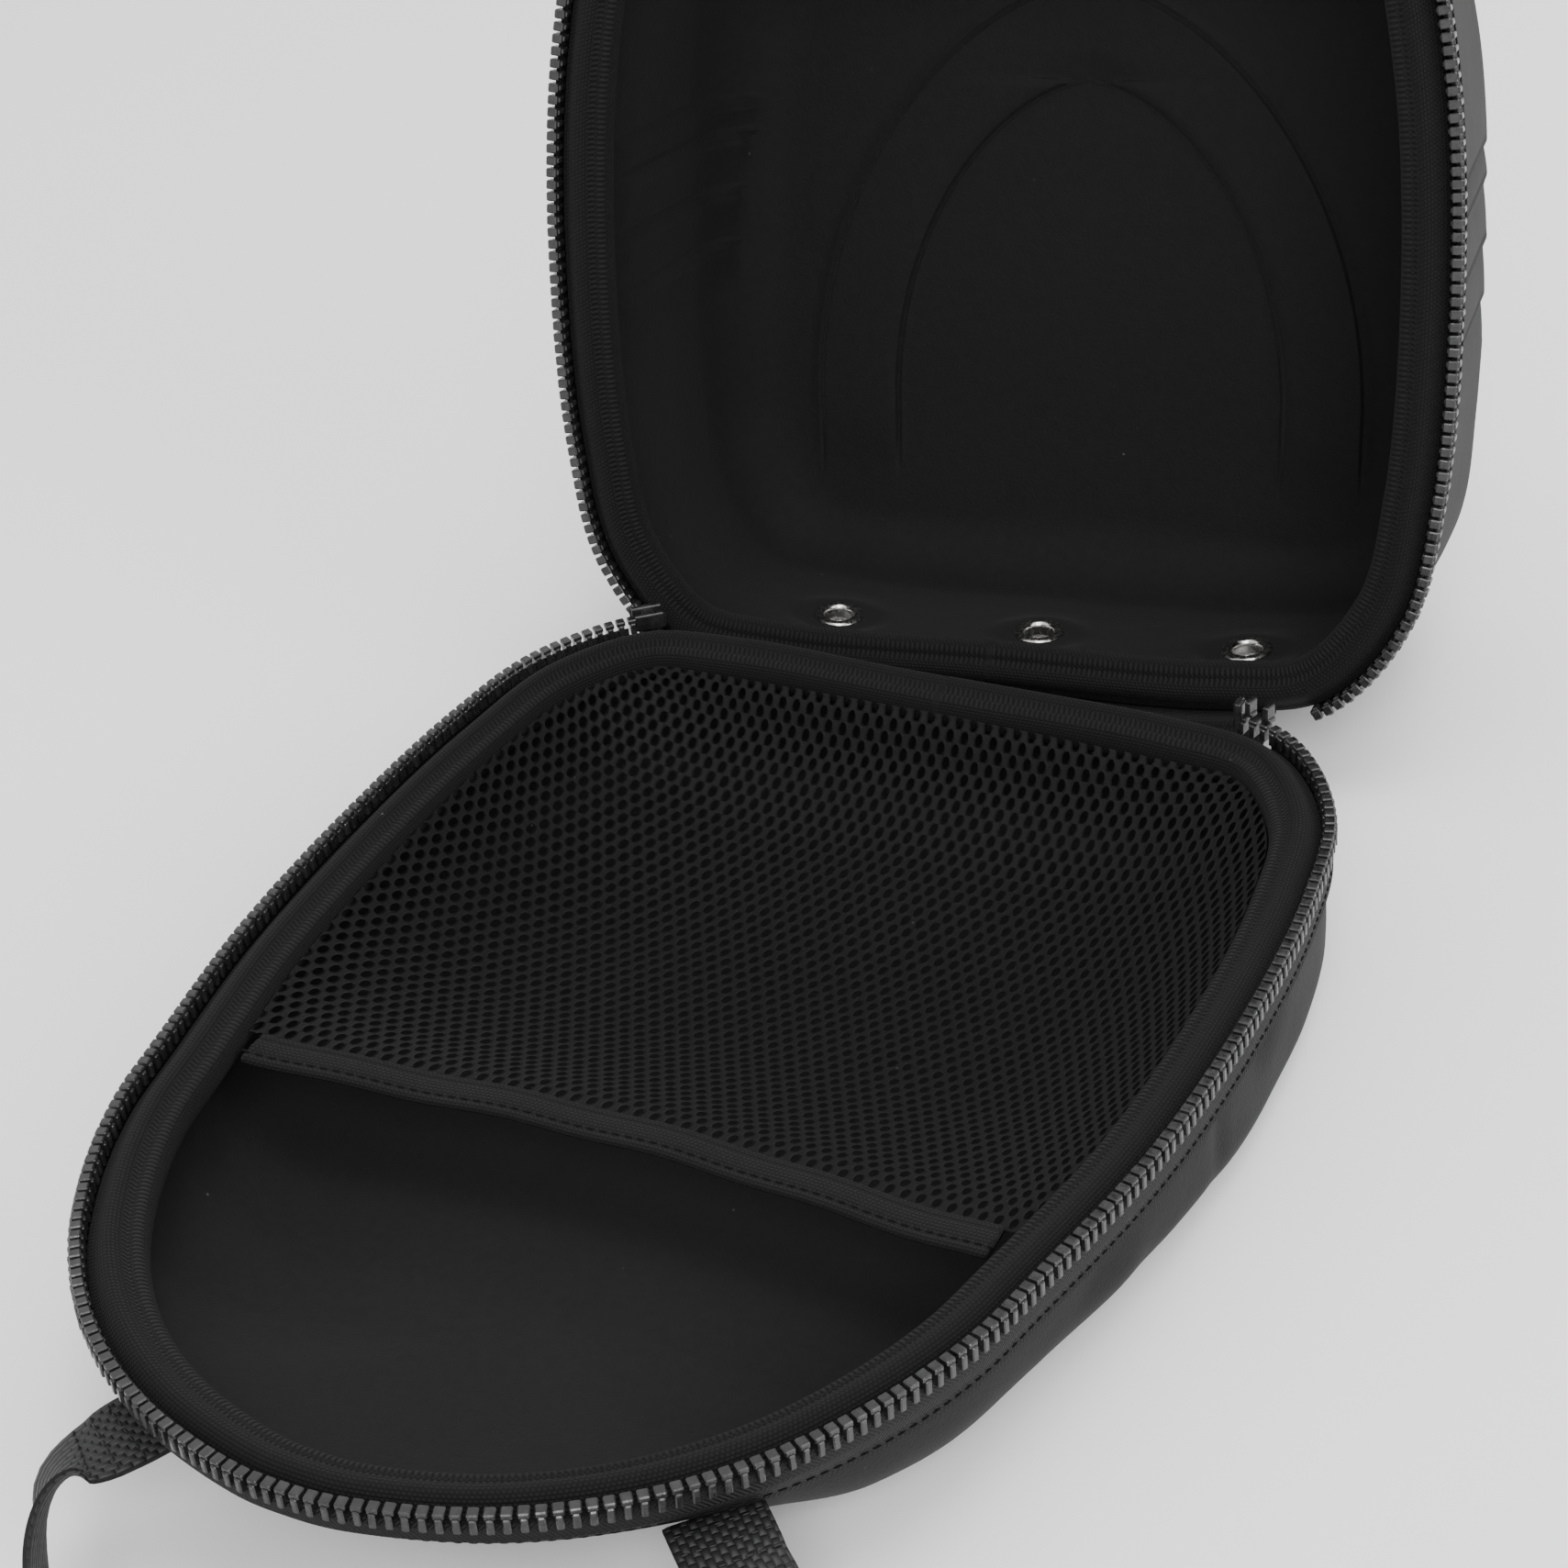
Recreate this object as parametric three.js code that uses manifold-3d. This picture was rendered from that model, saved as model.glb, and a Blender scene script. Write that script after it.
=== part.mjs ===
// Moulded clamshell case with a zip around its rim, shown open, in millimetres.
// +Z is up and the nose of the case points along -Y. The origin lies on the flat underside of the
// base, half way between the hinge edge and the nose. The lid is built closed and then swung open.
import * as THREE from 'three';
import { mergeVertices } from 'three/addons/utils/BufferGeometryUtils.js';
import Module from 'manifold-3d';

const wasm = await Module();
wasm.setup();

// Driving dimensions
const CASE_LENGTH = 302;
const CASE_WIDTH = 229.2;
const BASE_HEIGHT = 49.5;
const LID_HEIGHT = 112;
const SHELL_WALL = 3;
const RIM_SAG = 3.6;
const PANEL_CAMBER = 2.5;
const SEAM_GAP = 0.3;

// Rim: the shells end short of the middle plane of the zip, and tape and binding fill the rest
const SHELL_EDGE = 8;
const TAPE_THICKNESS = 1;
const TAPE_HEIGHT = 10.4;
const TEETH_THICKNESS = 3.4;
const TEETH_HEIGHT = 3;
const BINDING_WIDTH = 10;
const BINDING_HEIGHT = 11.6;
const BINDING_CREST = 1.4;

// Hinge: the fold lies below the rim, and it leans a little because it is only cloth
const HINGE_DROP = 22.5;
const HINGE_SETBACK = 1.1;
const HINGE_YAW = 4.5;
const HINGE_TILT = 3.67;
const OPEN_ANGLE = 101.8;
const HINGE_WIDTH = 150;
const HINGE_THICKNESS = 1.2;
const HINGE_SLACK = 8;
const HINGE_LAP = 2;

// Relief pressed into the lid
const RELIEF_DEPTH = 1.5;
const INNER_ARCH_HALF_WIDTH = 56;
const OUTER_ARCH_HALF_WIDTH = 79;
const INNER_ARCH_APEX = 141;
const OUTER_ARCH_APEX = 168;
const ARCH_SPRING = 50;
const ARCH_FOOT = 32;
const SLAT_COUNT = 4;
const SLAT_FIRST = 86;
const SLAT_PITCH = 15;
const SLAT_WIDTH = 4;
const SLAT_LOW = 28;
const SLAT_HIGH = 88;

// Eyelets in the back wall of the lid
const EYELET_SPACING = 58;
const EYELET_HEIGHT = 54;
const EYELET_OUTER = 14;
const EYELET_HOLE = 8;
const EYELET_FLANGE = 0.8;
const EYELET_PRESS = 0.5;
const EYELET_SIDES = 14;

// Net pocket in the base
const POCKET_LENGTH = 181;
const POCKET_RIM_DROP = 7;
const POCKET_SAG = 29;
const POCKET_BOW = 10;
const NET_THICKNESS = 1.2;
const HEM_WIDTH = 9;
const HEM_THICKNESS = 2;

// Webbing handle at the nose, with its two ends where they are sewn under the tape
const WEBBING_WIDTH = 20;
const WEBBING_THICKNESS = 1.6;
const HANDLE_LEFT_X = -46;
const HANDLE_RIGHT_X = 72;
const HANDLE_REACH = 46;
const HANDLE_DROOP = 10;
const HANDLE_SEAT = 1.3;

// Zip slider and its pull
const SLIDER_LENGTH = 9;
const SLIDER_WIDTH = 6;
const SLIDER_HEIGHT = 5;
const PULL_LENGTH = 24;
const PULL_WIDTH = 5;
const PULL_THICKNESS = 1.6;
const SLIDER_GAP = 6;
const ZIP_END_FROM_MIDDLE = HINGE_WIDTH / 2 + SLIDER_GAP + SLIDER_LENGTH + SEAM_GAP;

// Facets
const RIM_STEPS = 52;
const CORNER_STEPS = 3;
const HANDLE_STEPS = 28;

// Outline of the rim: half width as a share of half the case's width, at shares of its length
// measured from the hinge edge to the nose
const OUTLINE = [
  { across: 0, along: 0 },
  { across: 0.51, along: 0 },
  { across: 0.758, along: 0.017 },
  { across: 0.926, along: 0.096 },
  { across: 0.983, along: 0.2 },
  { across: 1, along: 0.36 },
  { across: 0.977, along: 0.515 },
  { across: 0.915, along: 0.65 },
  { across: 0.877, along: 0.72 },
  { across: 0.803, along: 0.792 },
  { across: 0.69, along: 0.863 },
  { across: 0.532, along: 0.925 },
  { across: 0.333, along: 0.971 },
  { across: 0.106, along: 0.997 },
  { across: 0, along: 1 },
];

// Wall of each shell at shares of the length. Draft is how far the wall leans inwards over its
// height, run and rise are the radii of its rounded corner across and up. Draft and run are shares
// of the shell's local height, and rise of the wall's.
const BASE_WALL = [
  { along: 0, draft: 0, run: 0.32, rise: 0.33 },
  { along: 0.3, draft: 0, run: 0.32, rise: 0.33 },
  { along: 0.43, draft: 0.02, run: 0.44, rise: 0.45 },
  { along: 0.53, draft: 0.07, run: 0.52, rise: 0.5 },
  { along: 0.62, draft: 0.1, run: 0.62, rise: 0.55 },
  { along: 0.72, draft: 0.1, run: 0.76, rise: 0.65 },
  { along: 0.79, draft: 0.16, run: 0.86, rise: 0.7 },
  { along: 0.86, draft: 0.44, run: 0.94, rise: 0.74 },
  { along: 0.94, draft: 0.78, run: 1, rise: 0.75 },
  { along: 1, draft: 0.82, run: 1, rise: 0.75 },
];
const LID_WALL = [
  { along: 0, draft: -0.066, run: 0.22, rise: 0.23 },
  { along: 0.1, draft: -0.02, run: 0.22, rise: 0.23 },
  { along: 0.25, draft: 0.02, run: 0.23, rise: 0.25 },
  { along: 0.5, draft: 0.04, run: 0.25, rise: 0.28 },
  { along: 0.65, draft: 0.06, run: 0.3, rise: 0.34 },
  { along: 0.8, draft: 0.12, run: 0.44, rise: 0.5 },
  { along: 1, draft: 0.22, run: 0.62, rise: 0.62 },
];

// Height of the lid's top along its middle, as a share of the lid's height
const LID_TOP = [
  { along: 0, height: 0.985 },
  { along: 0.15, height: 1 },
  { along: 0.5, height: 1 },
  { along: 0.57, height: 0.97 },
  { along: 0.65, height: 0.85 },
  { along: 0.73, height: 0.67 },
  { along: 0.81, height: 0.53 },
  { along: 0.9, height: 0.44 },
  { along: 1, height: 0.38 },
];

// Depth of the net's bowl as a share of its greatest, from the back rim to the hem
const POCKET_BOWL = [
  { along: 0, depth: 0 },
  { along: 0.06, depth: 0.4 },
  { along: 0.2, depth: 0.84 },
  { along: 0.42, depth: 1 },
  { along: 0.65, depth: 0.86 },
  { along: 0.85, depth: 0.5 },
  { along: 1, depth: 0.2 },
];
const POCKET_ROWS = [0, 0.05, 0.12, 0.24, 0.4, 0.6, 0.8, 1];
const POCKET_COLUMNS = [-1, -0.93, -0.8, -0.5, -0.17, 0.17, 0.5, 0.8, 0.93, 1];

const BACK_Y = CASE_LENGTH / 2;
const TAPE_END = 2 * SEAM_GAP + TEETH_HEIGHT + TAPE_HEIGHT;
const SPINE_BACK_SHARE = 0.25;
const SPINE_NOSE_SHARE = 0.636;

// Slope of a column of a table at one of its rows, level where the column turns back
function tableSlope(rows, column, row) {
  if (row === 0 || row === rows.length - 1) {
    return 0;
  }
  const [before, at, after] = [rows[row - 1], rows[row], rows[row + 1]];
  const low = (at[column] - before[column]) / (at.along - before.along);
  const high = (after[column] - at[column]) / (after.along - at.along);
  return low * high > 0 ? 2 * low * high / (low + high) : 0;
}

// Value of a column at a share of the case's length, on a smooth curve through the table's rows
function tableValue(rows, column, along) {
  const share = THREE.MathUtils.clamp(along, 0, 1);
  const next = Math.max(1, rows.findIndex((row) => row.along >= share));
  const before = rows[next - 1];
  const after = rows[next];
  const step = after.along - before.along;
  const t = (share - before.along) / step;
  const start = tableSlope(rows, column, next - 1) * step;
  const end = tableSlope(rows, column, next) * step;
  return before[column] * (1 + 2 * t) * (1 - t) ** 2 + start * t * (1 - t) ** 2
    + after[column] * t * t * (3 - 2 * t) - end * t * t * (1 - t);
}

function shareOf(y) {
  return (BACK_Y - y) / CASE_LENGTH;
}

function yOf(share) {
  return BACK_Y - share * CASE_LENGTH;
}

// Height of the middle plane of the zip, which sags a little between hinge and nose
function zipHeight(y) {
  return BASE_HEIGHT - RIM_SAG * Math.sin(Math.PI * THREE.MathUtils.clamp(shareOf(y), 0, 1));
}

// Rim outline as frames: a point and its outward direction, clockwise from the hinge edge's middle
function rimFrames() {
  const right = OUTLINE.map((row) => new THREE.Vector3(row.across * CASE_WIDTH / 2, yOf(row.along), 0));
  const left = right.slice(1, -1).reverse().map((point) => new THREE.Vector3(-point.x, point.y, 0));
  const curve = new THREE.CatmullRomCurve3([...right, ...left], true, 'centripetal');
  curve.arcLengthDivisions = 2000;
  const half = RIM_STEPS / 2;
  const frames = [];
  for (let step = 0; step <= half; step += 1) {
    const point = curve.getPointAt(step / RIM_STEPS);
    const tangent = curve.getTangentAt(step / RIM_STEPS);
    const onAxis = step === 0 || step === half;
    const normal = new THREE.Vector2(onAxis ? 0 : -tangent.y, tangent.x).normalize();
    frames.push({ x: onAxis ? 0 : point.x, y: point.y, normal });
  }
  for (let step = half - 1; step > 0; step -= 1) {
    const twin = frames[step];
    frames.push({ x: -twin.x, y: twin.y, normal: new THREE.Vector2(-twin.normal.x, twin.normal.y) });
  }
  return frames;
}

const RIM = rimFrames();

// Frame of the rim at a place across the case, on its nose or on its back
function frameAt(x, onNose) {
  const row = RIM.filter((frame) => onNose === (frame.y < 0)).sort((a, b) => a.x - b.x);
  const next = row.findIndex((frame) => frame.x >= x);
  const [a, b] = [row[next - 1], row[next]];
  const t = (x - a.x) / (b.x - a.x);
  const normal = a.normal.clone().lerp(b.normal, t).normalize();
  return { x, y: THREE.MathUtils.lerp(a.y, b.y, t), normal };
}

// Point at an outward offset from the rim and at a height
function atRim(frame, offset, z) {
  return new THREE.Vector3(frame.x + frame.normal.x * offset, frame.y + frame.normal.y * offset, z);
}

// Closed body from points and triangles, with its faces turned outwards
function bodyGeometry(points, triangles) {
  let volume = 0;
  for (const [a, b, c] of triangles) {
    volume += points[a].dot(new THREE.Vector3().crossVectors(points[b], points[c]));
  }
  const ordered = volume < 0 ? triangles.map(([a, b, c]) => [a, c, b]) : triangles;
  const loose = new THREE.BufferGeometry();
  loose.setAttribute('position', new THREE.Float32BufferAttribute(points.flatMap((p) => p.toArray()), 3));
  loose.setIndex(ordered.flat());
  const merged = mergeVertices(loose, 1e-4);
  const index = merged.getIndex().array;
  const kept = [];
  for (let i = 0; i < index.length; i += 3) {
    const [a, b, c] = [index[i], index[i + 1], index[i + 2]];
    if (a !== b && b !== c && c !== a) {
      kept.push(a, b, c);
    }
  }
  merged.setIndex(kept);
  return merged;
}

// Body through rows of equally many points. A looped body joins its last row to its first. Any
// other is closed by a cap over its first row and its last, unless the last folds shut on itself.
function loft(rows, { looped = false, folded = false } = {}) {
  const count = rows[0].length;
  const points = rows.flat();
  const triangles = [];
  const bands = looped ? rows.length : rows.length - 1;
  for (let row = 0; row < bands; row += 1) {
    const next = (row + 1) % rows.length;
    for (let i = 0; i < count; i += 1) {
      const j = (i + 1) % count;
      triangles.push([row * count + i, row * count + j, next * count + j]);
      triangles.push([row * count + i, next * count + j, next * count + i]);
    }
  }
  if (!looped) {
    const ends = folded ? [[0, true]] : [[0, true], [rows.length - 1, false]];
    for (const [row, flip] of ends) {
      for (const [a, b, c] of capTriangles(rows[row])) {
        const corners = [row * count + a, row * count + b, row * count + c];
        triangles.push(flip ? corners.reverse() : corners);
      }
    }
  }
  return bodyGeometry(points, triangles);
}

// Sheet of a thickness under a grid of points
function sheet(rows, thickness) {
  const width = rows[0].length;
  const upper = rows.flat();
  const lower = upper.map((point) => point.clone().setZ(point.z - thickness));
  const triangles = [];
  const quad = (a, b, c, d) => triangles.push([a, b, c], [a, c, d]);
  const under = upper.length;
  for (let row = 0; row < rows.length - 1; row += 1) {
    for (let i = 0; i < width - 1; i += 1) {
      const at = row * width + i;
      quad(at, at + 1, at + 1 + width, at + width);
      quad(under + at, under + at + width, under + at + 1 + width, under + at + 1);
    }
    const first = row * width;
    const last = first + width - 1;
    quad(first, first + width, under + first + width, under + first);
    quad(last, under + last, under + last + width, last + width);
  }
  const end = (rows.length - 1) * width;
  for (let i = 0; i < width - 1; i += 1) {
    quad(i, under + i, under + i + 1, i + 1);
    quad(end + i, end + i + 1, under + end + i + 1, under + end + i);
  }
  return bodyGeometry([...upper, ...lower], triangles);
}

// Triangles over a ring of points that lie nearly in one plane
function capTriangles(ring) {
  const normal = new THREE.Vector3();
  ring.forEach((point, i) => {
    normal.add(new THREE.Vector3().crossVectors(point, ring[(i + 1) % ring.length]));
  });
  normal.normalize();
  const side = new THREE.Vector3(Math.abs(normal.x) > 0.8 ? 0 : 1, Math.abs(normal.x) > 0.8 ? 1 : 0, 0);
  const u = new THREE.Vector3().crossVectors(side, normal).normalize();
  const w = new THREE.Vector3().crossVectors(normal, u);
  const flat = ring.map((point) => new THREE.Vector2(point.dot(u), point.dot(w)));
  return THREE.ShapeUtils.triangulateShape(flat, []);
}

function manifoldOf(geometry) {
  const vertProperties = new Float32Array(geometry.getAttribute('position').array);
  const triVerts = new Uint32Array(geometry.getIndex().array);
  return new wasm.Manifold(new wasm.Mesh({ numProp: 3, vertProperties, triVerts }));
}

function geometryOf(solid) {
  const mesh = solid.getMesh();
  const geometry = new THREE.BufferGeometry();
  geometry.setAttribute('position', new THREE.Float32BufferAttribute(mesh.vertProperties, mesh.numProp));
  geometry.setIndex(Array.from(mesh.triVerts));
  return geometry;
}

function prism(shape, depth, place) {
  const geometry = new THREE.ExtrudeGeometry(shape, { depth, bevelEnabled: false, curveSegments: 12 });
  geometry.deleteAttribute('normal');
  geometry.deleteAttribute('uv');
  geometry.applyMatrix4(place);
  return manifoldOf(mergeVertices(geometry, 1e-4));
}

function lidTop(x, y) {
  const across = x / (CASE_WIDTH / 2);
  return LID_HEIGHT * tableValue(LID_TOP, 'height', shareOf(y)) - PANEL_CAMBER * across * across;
}

function baseTop() {
  return BASE_HEIGHT;
}

// The two halves of the case. Each is built with its top upwards, and the base is then turned over.
const LID = { wall: LID_WALL, topAt: lidTop, side: 1, flatTop: false };
const BASE = { wall: BASE_WALL, topAt: baseTop, side: -1, flatTop: true };

// How far round the corner of a half's wall a share of its depth lies, from 0 to 1
function cornerTurn(half, frame, depth) {
  const rise = tableValue(half.wall, 'rise', shareOf(frame.y));
  return THREE.MathUtils.clamp((depth - 1 + rise) / rise, 0, 1);
}

// How far a half's wall lies inwards of the rim at a share of its depth, from edge to top
function wallRun(half, frame, depth, inset) {
  const height = half.topAt(frame.x, frame.y);
  const along = shareOf(frame.y);
  const run = tableValue(half.wall, 'run', along) * height - inset;
  const turn = cornerTurn(half, frame, depth);
  return tableValue(half.wall, 'draft', along) * height * depth + run * (1 - Math.sqrt(1 - turn * turn));
}

// Point of the spine that a frame of the rim leans towards, and the direction to it
function spineFrom(frame) {
  const share = THREE.MathUtils.clamp(shareOf(frame.y), SPINE_BACK_SHARE, SPINE_NOSE_SHARE);
  const spine = new THREE.Vector2(0, yOf(share));
  return { spine, inwards: spine.clone().sub(new THREE.Vector2(frame.x, frame.y)).normalize() };
}

// Share of the wall's depth at a height above the zip's middle plane
function wallDepth(half, frame, up) {
  const sag = half.side * (zipHeight(frame.y) - BASE_HEIGHT);
  return Math.max(0, (up - SHELL_EDGE) / (half.topAt(frame.x, frame.y) - SHELL_EDGE - sag));
}

// Point of a half's wall at a share of its depth, measured upwards from the zip's middle plane
function wallPoint(half, frame, depth, inset) {
  const flat = new THREE.Vector2(frame.x, frame.y).addScaledVector(frame.normal, -inset);
  flat.addScaledVector(spineFrom(frame).inwards, wallRun(half, frame, depth, inset));
  const edge = SHELL_EDGE + half.side * (zipHeight(frame.y) - BASE_HEIGHT);
  const z = THREE.MathUtils.lerp(edge, half.topAt(flat.x, flat.y), depth);
  return new THREE.Vector3(flat.x, flat.y, z - inset * cornerTurn(half, frame, depth));
}

// Solid of a half's outside, or of the hollow inside it when inset is its wall. It is cut level
// below the shell's edge by the given drop.
function domeSolid(half, inset, drop) {
  const rings = [RIM.map((frame) => {
    const point = wallPoint(half, frame, 0, inset);
    return point.setZ(point.z - drop);
  })];
  for (const up of [SHELL_EDGE, TAPE_END]) {
    rings.push(RIM.map((frame) => wallPoint(half, frame, wallDepth(half, frame, up), inset)));
  }
  for (let step = 0; step <= CORNER_STEPS; step += 1) {
    const turn = Math.sin((step / CORNER_STEPS) * Math.PI / 2);
    rings.push(RIM.map((frame) => {
      const rise = tableValue(half.wall, 'rise', shareOf(frame.y));
      return wallPoint(half, frame, 1 - rise + rise * turn, inset);
    }));
  }
  if (!half.flatTop) {
    for (const share of [0.3, 0.65, 1]) {
      rings.push(RIM.map((frame) => {
        const { spine } = spineFrom(frame);
        const flat = wallPoint(half, frame, 1, inset).lerp(new THREE.Vector3(spine.x, spine.y, 0), share);
        return flat.setZ(half.topAt(flat.x, flat.y) - inset);
      }));
    }
  }
  const kept = drop > 0 ? rings : rings.slice(1);
  return manifoldOf(loft(kept, { folded: !half.flatTop }));
}

// Outline between the two pointed arches of the lid, as seen from above
function archBand() {
  const side = (halfWidth, apex) => {
    const points = [new THREE.Vector2(halfWidth, yOf(ARCH_FOOT / CASE_LENGTH))];
    const steps = 9;
    for (let step = 0; step <= steps; step += 1) {
      const t = Math.sin((step / steps) * Math.PI / 2);
      const y = yOf((ARCH_SPRING + (apex - ARCH_SPRING) * t) / CASE_LENGTH);
      points.push(new THREE.Vector2(halfWidth * (1 - t * t) ** 0.6, y));
    }
    return points;
  };
  const mirrored = (points) => points.slice(0, -1).reverse().map((p) => new THREE.Vector2(-p.x, p.y));
  const outer = side(OUTER_ARCH_HALF_WIDTH, OUTER_ARCH_APEX);
  const inner = side(INNER_ARCH_HALF_WIDTH, INNER_ARCH_APEX);
  const outline = [...outer, ...mirrored(outer), ...inner.map((p) => new THREE.Vector2(-p.x, p.y)),
    ...inner.slice(0, -1).reverse()];
  return new THREE.Shape(outline);
}

function archPrism() {
  return prism(archBand(), LID_HEIGHT, new THREE.Matrix4().makeTranslation(0, 0, LID_HEIGHT / 2));
}

// Upright bars where the slats on the lid's two sides are pressed
function slatPrisms() {
  const bars = [];
  for (let slat = 0; slat < SLAT_COUNT; slat += 1) {
    const y = yOf((SLAT_FIRST + slat * SLAT_PITCH) / CASE_LENGTH);
    const shape = new THREE.Shape([
      new THREE.Vector2(-CASE_WIDTH, y - SLAT_WIDTH / 2),
      new THREE.Vector2(CASE_WIDTH, y - SLAT_WIDTH / 2),
      new THREE.Vector2(CASE_WIDTH, y + SLAT_WIDTH / 2),
      new THREE.Vector2(-CASE_WIDTH, y + SLAT_WIDTH / 2),
    ]);
    bars.push(prism(shape, SLAT_HIGH - SLAT_LOW, new THREE.Matrix4().makeTranslation(0, 0, SLAT_LOW)));
  }
  return bars.reduce((sum, bar) => sum.add(bar));
}

function cylinderAlongY(diameter, length, y) {
  const geometry = new THREE.CylinderGeometry(diameter / 2, diameter / 2, length, EYELET_SIDES);
  geometry.deleteAttribute('normal');
  geometry.deleteAttribute('uv');
  geometry.translate(0, y, 0);
  return manifoldOf(mergeVertices(geometry, 1e-4));
}

// Middle of the lid's back wall where each eyelet sits, and how the wall is turned there
function eyeletSeats() {
  return [-1, 0, 1].map((side) => {
    const frame = frameAt(side * EYELET_SPACING, false);
    const height = lidTop(frame.x, frame.y);
    const slope = -LID_WALL[0].draft * height * frame.normal.y / (height - SHELL_EDGE);
    const out = slope * (EYELET_HEIGHT - SHELL_EDGE) - SHELL_WALL / 2;
    return {
      point: atRim(frame, out, BASE_HEIGHT + EYELET_HEIGHT),
      tilt: -Math.atan(slope),
      yaw: -Math.atan2(frame.normal.x, frame.normal.y),
    };
  });
}

// Hole and shallow seats that are pressed into the wall for one eyelet
function eyeletPress(seat) {
  const face = SHELL_WALL / 2 - EYELET_PRESS;
  const deep = 3 * SHELL_WALL;
  const hole = cylinderAlongY(EYELET_HOLE + 2 * EYELET_FLANGE + 2 * SEAM_GAP, 2 * deep, 0);
  const inside = cylinderAlongY(EYELET_OUTER + 2 * SEAM_GAP, deep, -face - deep / 2);
  const outside = cylinderAlongY(EYELET_OUTER + 2 * SEAM_GAP, deep, face + deep / 2);
  const { radToDeg } = THREE.MathUtils;
  return hole.add(inside).add(outside).rotate([radToDeg(seat.tilt), 0, radToDeg(seat.yaw)])
    .translate(seat.point.toArray());
}

function material(color, roughness, metalness) {
  return new THREE.MeshStandardMaterial({ color, roughness, metalness, flatShading: true });
}

const coveredFoam = material(0x262628, 0.8, 0);
const wovenCloth = material(0x2a2a2c, 0.9, 0);
const netCloth = material(0x222224, 0.9, 0);
const webbing = material(0x1e1e20, 0.85, 0);
const toothPlastic = material(0x333335, 0.45, 0);
const nickel = material(0xc8c8ca, 0.25, 1);

function named(name, geometry, look) {
  const mesh = new THREE.Mesh(geometry, look);
  mesh.name = name;
  geometry.computeVertexNormals();
  return mesh;
}

// Place of a half's solid in the closed case
function standing(half, solid) {
  const turned = half.side > 0 ? solid : solid.mirror([0, 0, 1]);
  return turned.translate([0, 0, BASE_HEIGHT]);
}

// Point at an outward offset from a half's rim, and at a height above the zip's middle plane
function rimPoint(half, frame, offset, up) {
  return atRim(frame, offset, zipHeight(frame.y) + half.side * up);
}

// The same, but below the shell's edge the offset is measured from the wall
function wallOffset(half, frame, offset, up) {
  const { inwards } = spineFrom(frame);
  const run = wallRun(half, frame, wallDepth(half, frame, up), 0);
  const point = rimPoint(half, frame, offset, up);
  return point.add(new THREE.Vector3(inwards.x * run, inwards.y * run, 0));
}

// Body around a half's rim through a section whose points follow the wall's lean
function rimRing(half, section) {
  const rows = RIM.map((frame) => section.map(([offset, up]) => wallOffset(half, frame, offset, up)));
  return manifoldOf(loft(rows, { looped: true }));
}

// Shell of a half, standing in the closed case, with its edge cut to follow the rim
function shellSolid(half) {
  const drop = 2 * RIM_SAG;
  const low = SHELL_EDGE - 2 * drop;
  const edge = [[drop, low], [drop, SHELL_EDGE], [-drop, SHELL_EDGE], [-drop, low]];
  const body = domeSolid(half, 0, drop).subtract(domeSolid(half, SHELL_WALL, 2 * drop));
  return standing(half, body).subtract(rimRing(half, edge));
}

// Lid's shell. In its reliefs the whole wall is pressed inwards.
function lidShell() {
  const reliefs = archPrism().add(slatPrisms());
  const pressed = reliefs.subtract(domeSolid(LID, RELIEF_DEPTH, 0));
  const deep = domeSolid(LID, SHELL_WALL + RELIEF_DEPTH, 0);
  const raised = reliefs.intersect(domeSolid(LID, SHELL_WALL - RELIEF_DEPTH / 2, 0).subtract(deep));
  const formed = shellSolid(LID).add(standing(LID, raised)).subtract(standing(LID, pressed));
  const solid = eyeletSeats().reduce((rest, seat) => rest.subtract(eyeletPress(seat)), formed);
  return named('lid_shell', geometryOf(solid), coveredFoam);
}

function baseShell() {
  return named('base_shell', geometryOf(shellSolid(BASE)), coveredFoam);
}

// Section of the rolled binding: offset from the rim and height above the zip's middle plane.
// It wraps over the shell's edge and bulges inwards.
function bindingSection() {
  const inner = -SHELL_WALL - SEAM_GAP;
  const low = BINDING_CREST;
  const seat = SHELL_EDGE - SEAM_GAP;
  const end = BINDING_CREST + BINDING_HEIGHT;
  return [
    [-0.2, seat],
    [-1.5, low + 2.6],
    [inner - 0.3 * BINDING_WIDTH, low],
    [inner - 0.8 * BINDING_WIDTH, low + 1],
    [inner - BINDING_WIDTH, low + 0.5 * BINDING_HEIGHT],
    [inner - 0.6 * BINDING_WIDTH, end],
    [inner, end],
  ];
}

// Rolled binding around a half's rim, cut back where the shell stands in it
function bindingPiece(name, half) {
  const section = bindingSection();
  const rows = RIM.map((frame) => section.map(([offset, up]) => rimPoint(half, frame, offset, up)));
  const outer = BINDING_WIDTH;
  const inner = -SHELL_WALL - SEAM_GAP;
  const seat = SHELL_EDGE - SEAM_GAP;
  const low = TAPE_END;
  const cut = [[outer, seat], [inner, seat], [inner, SHELL_EDGE], [inner, low], [outer, low]];
  const shell = rimRing(half, cut);
  return named(name, geometryOf(manifoldOf(loft(rows, { looped: true })).subtract(shell)), wovenCloth);
}

// Strip along the rim from one end of the zip around the nose to the other
function zipStrip(name, half, section, look) {
  const past = RIM.filter((frame) => frame.y < 0 || Math.abs(frame.x) > ZIP_END_FROM_MIDDLE + 1);
  const ends = [frameAt(ZIP_END_FROM_MIDDLE, false), frameAt(-ZIP_END_FROM_MIDDLE, false)];
  const rows = [ends[0], ...past, ends[1]].map((frame) => (
    section.map(([offset, up]) => wallOffset(half, frame, offset, up))
  ));
  return named(name, loft(rows), look);
}

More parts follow.
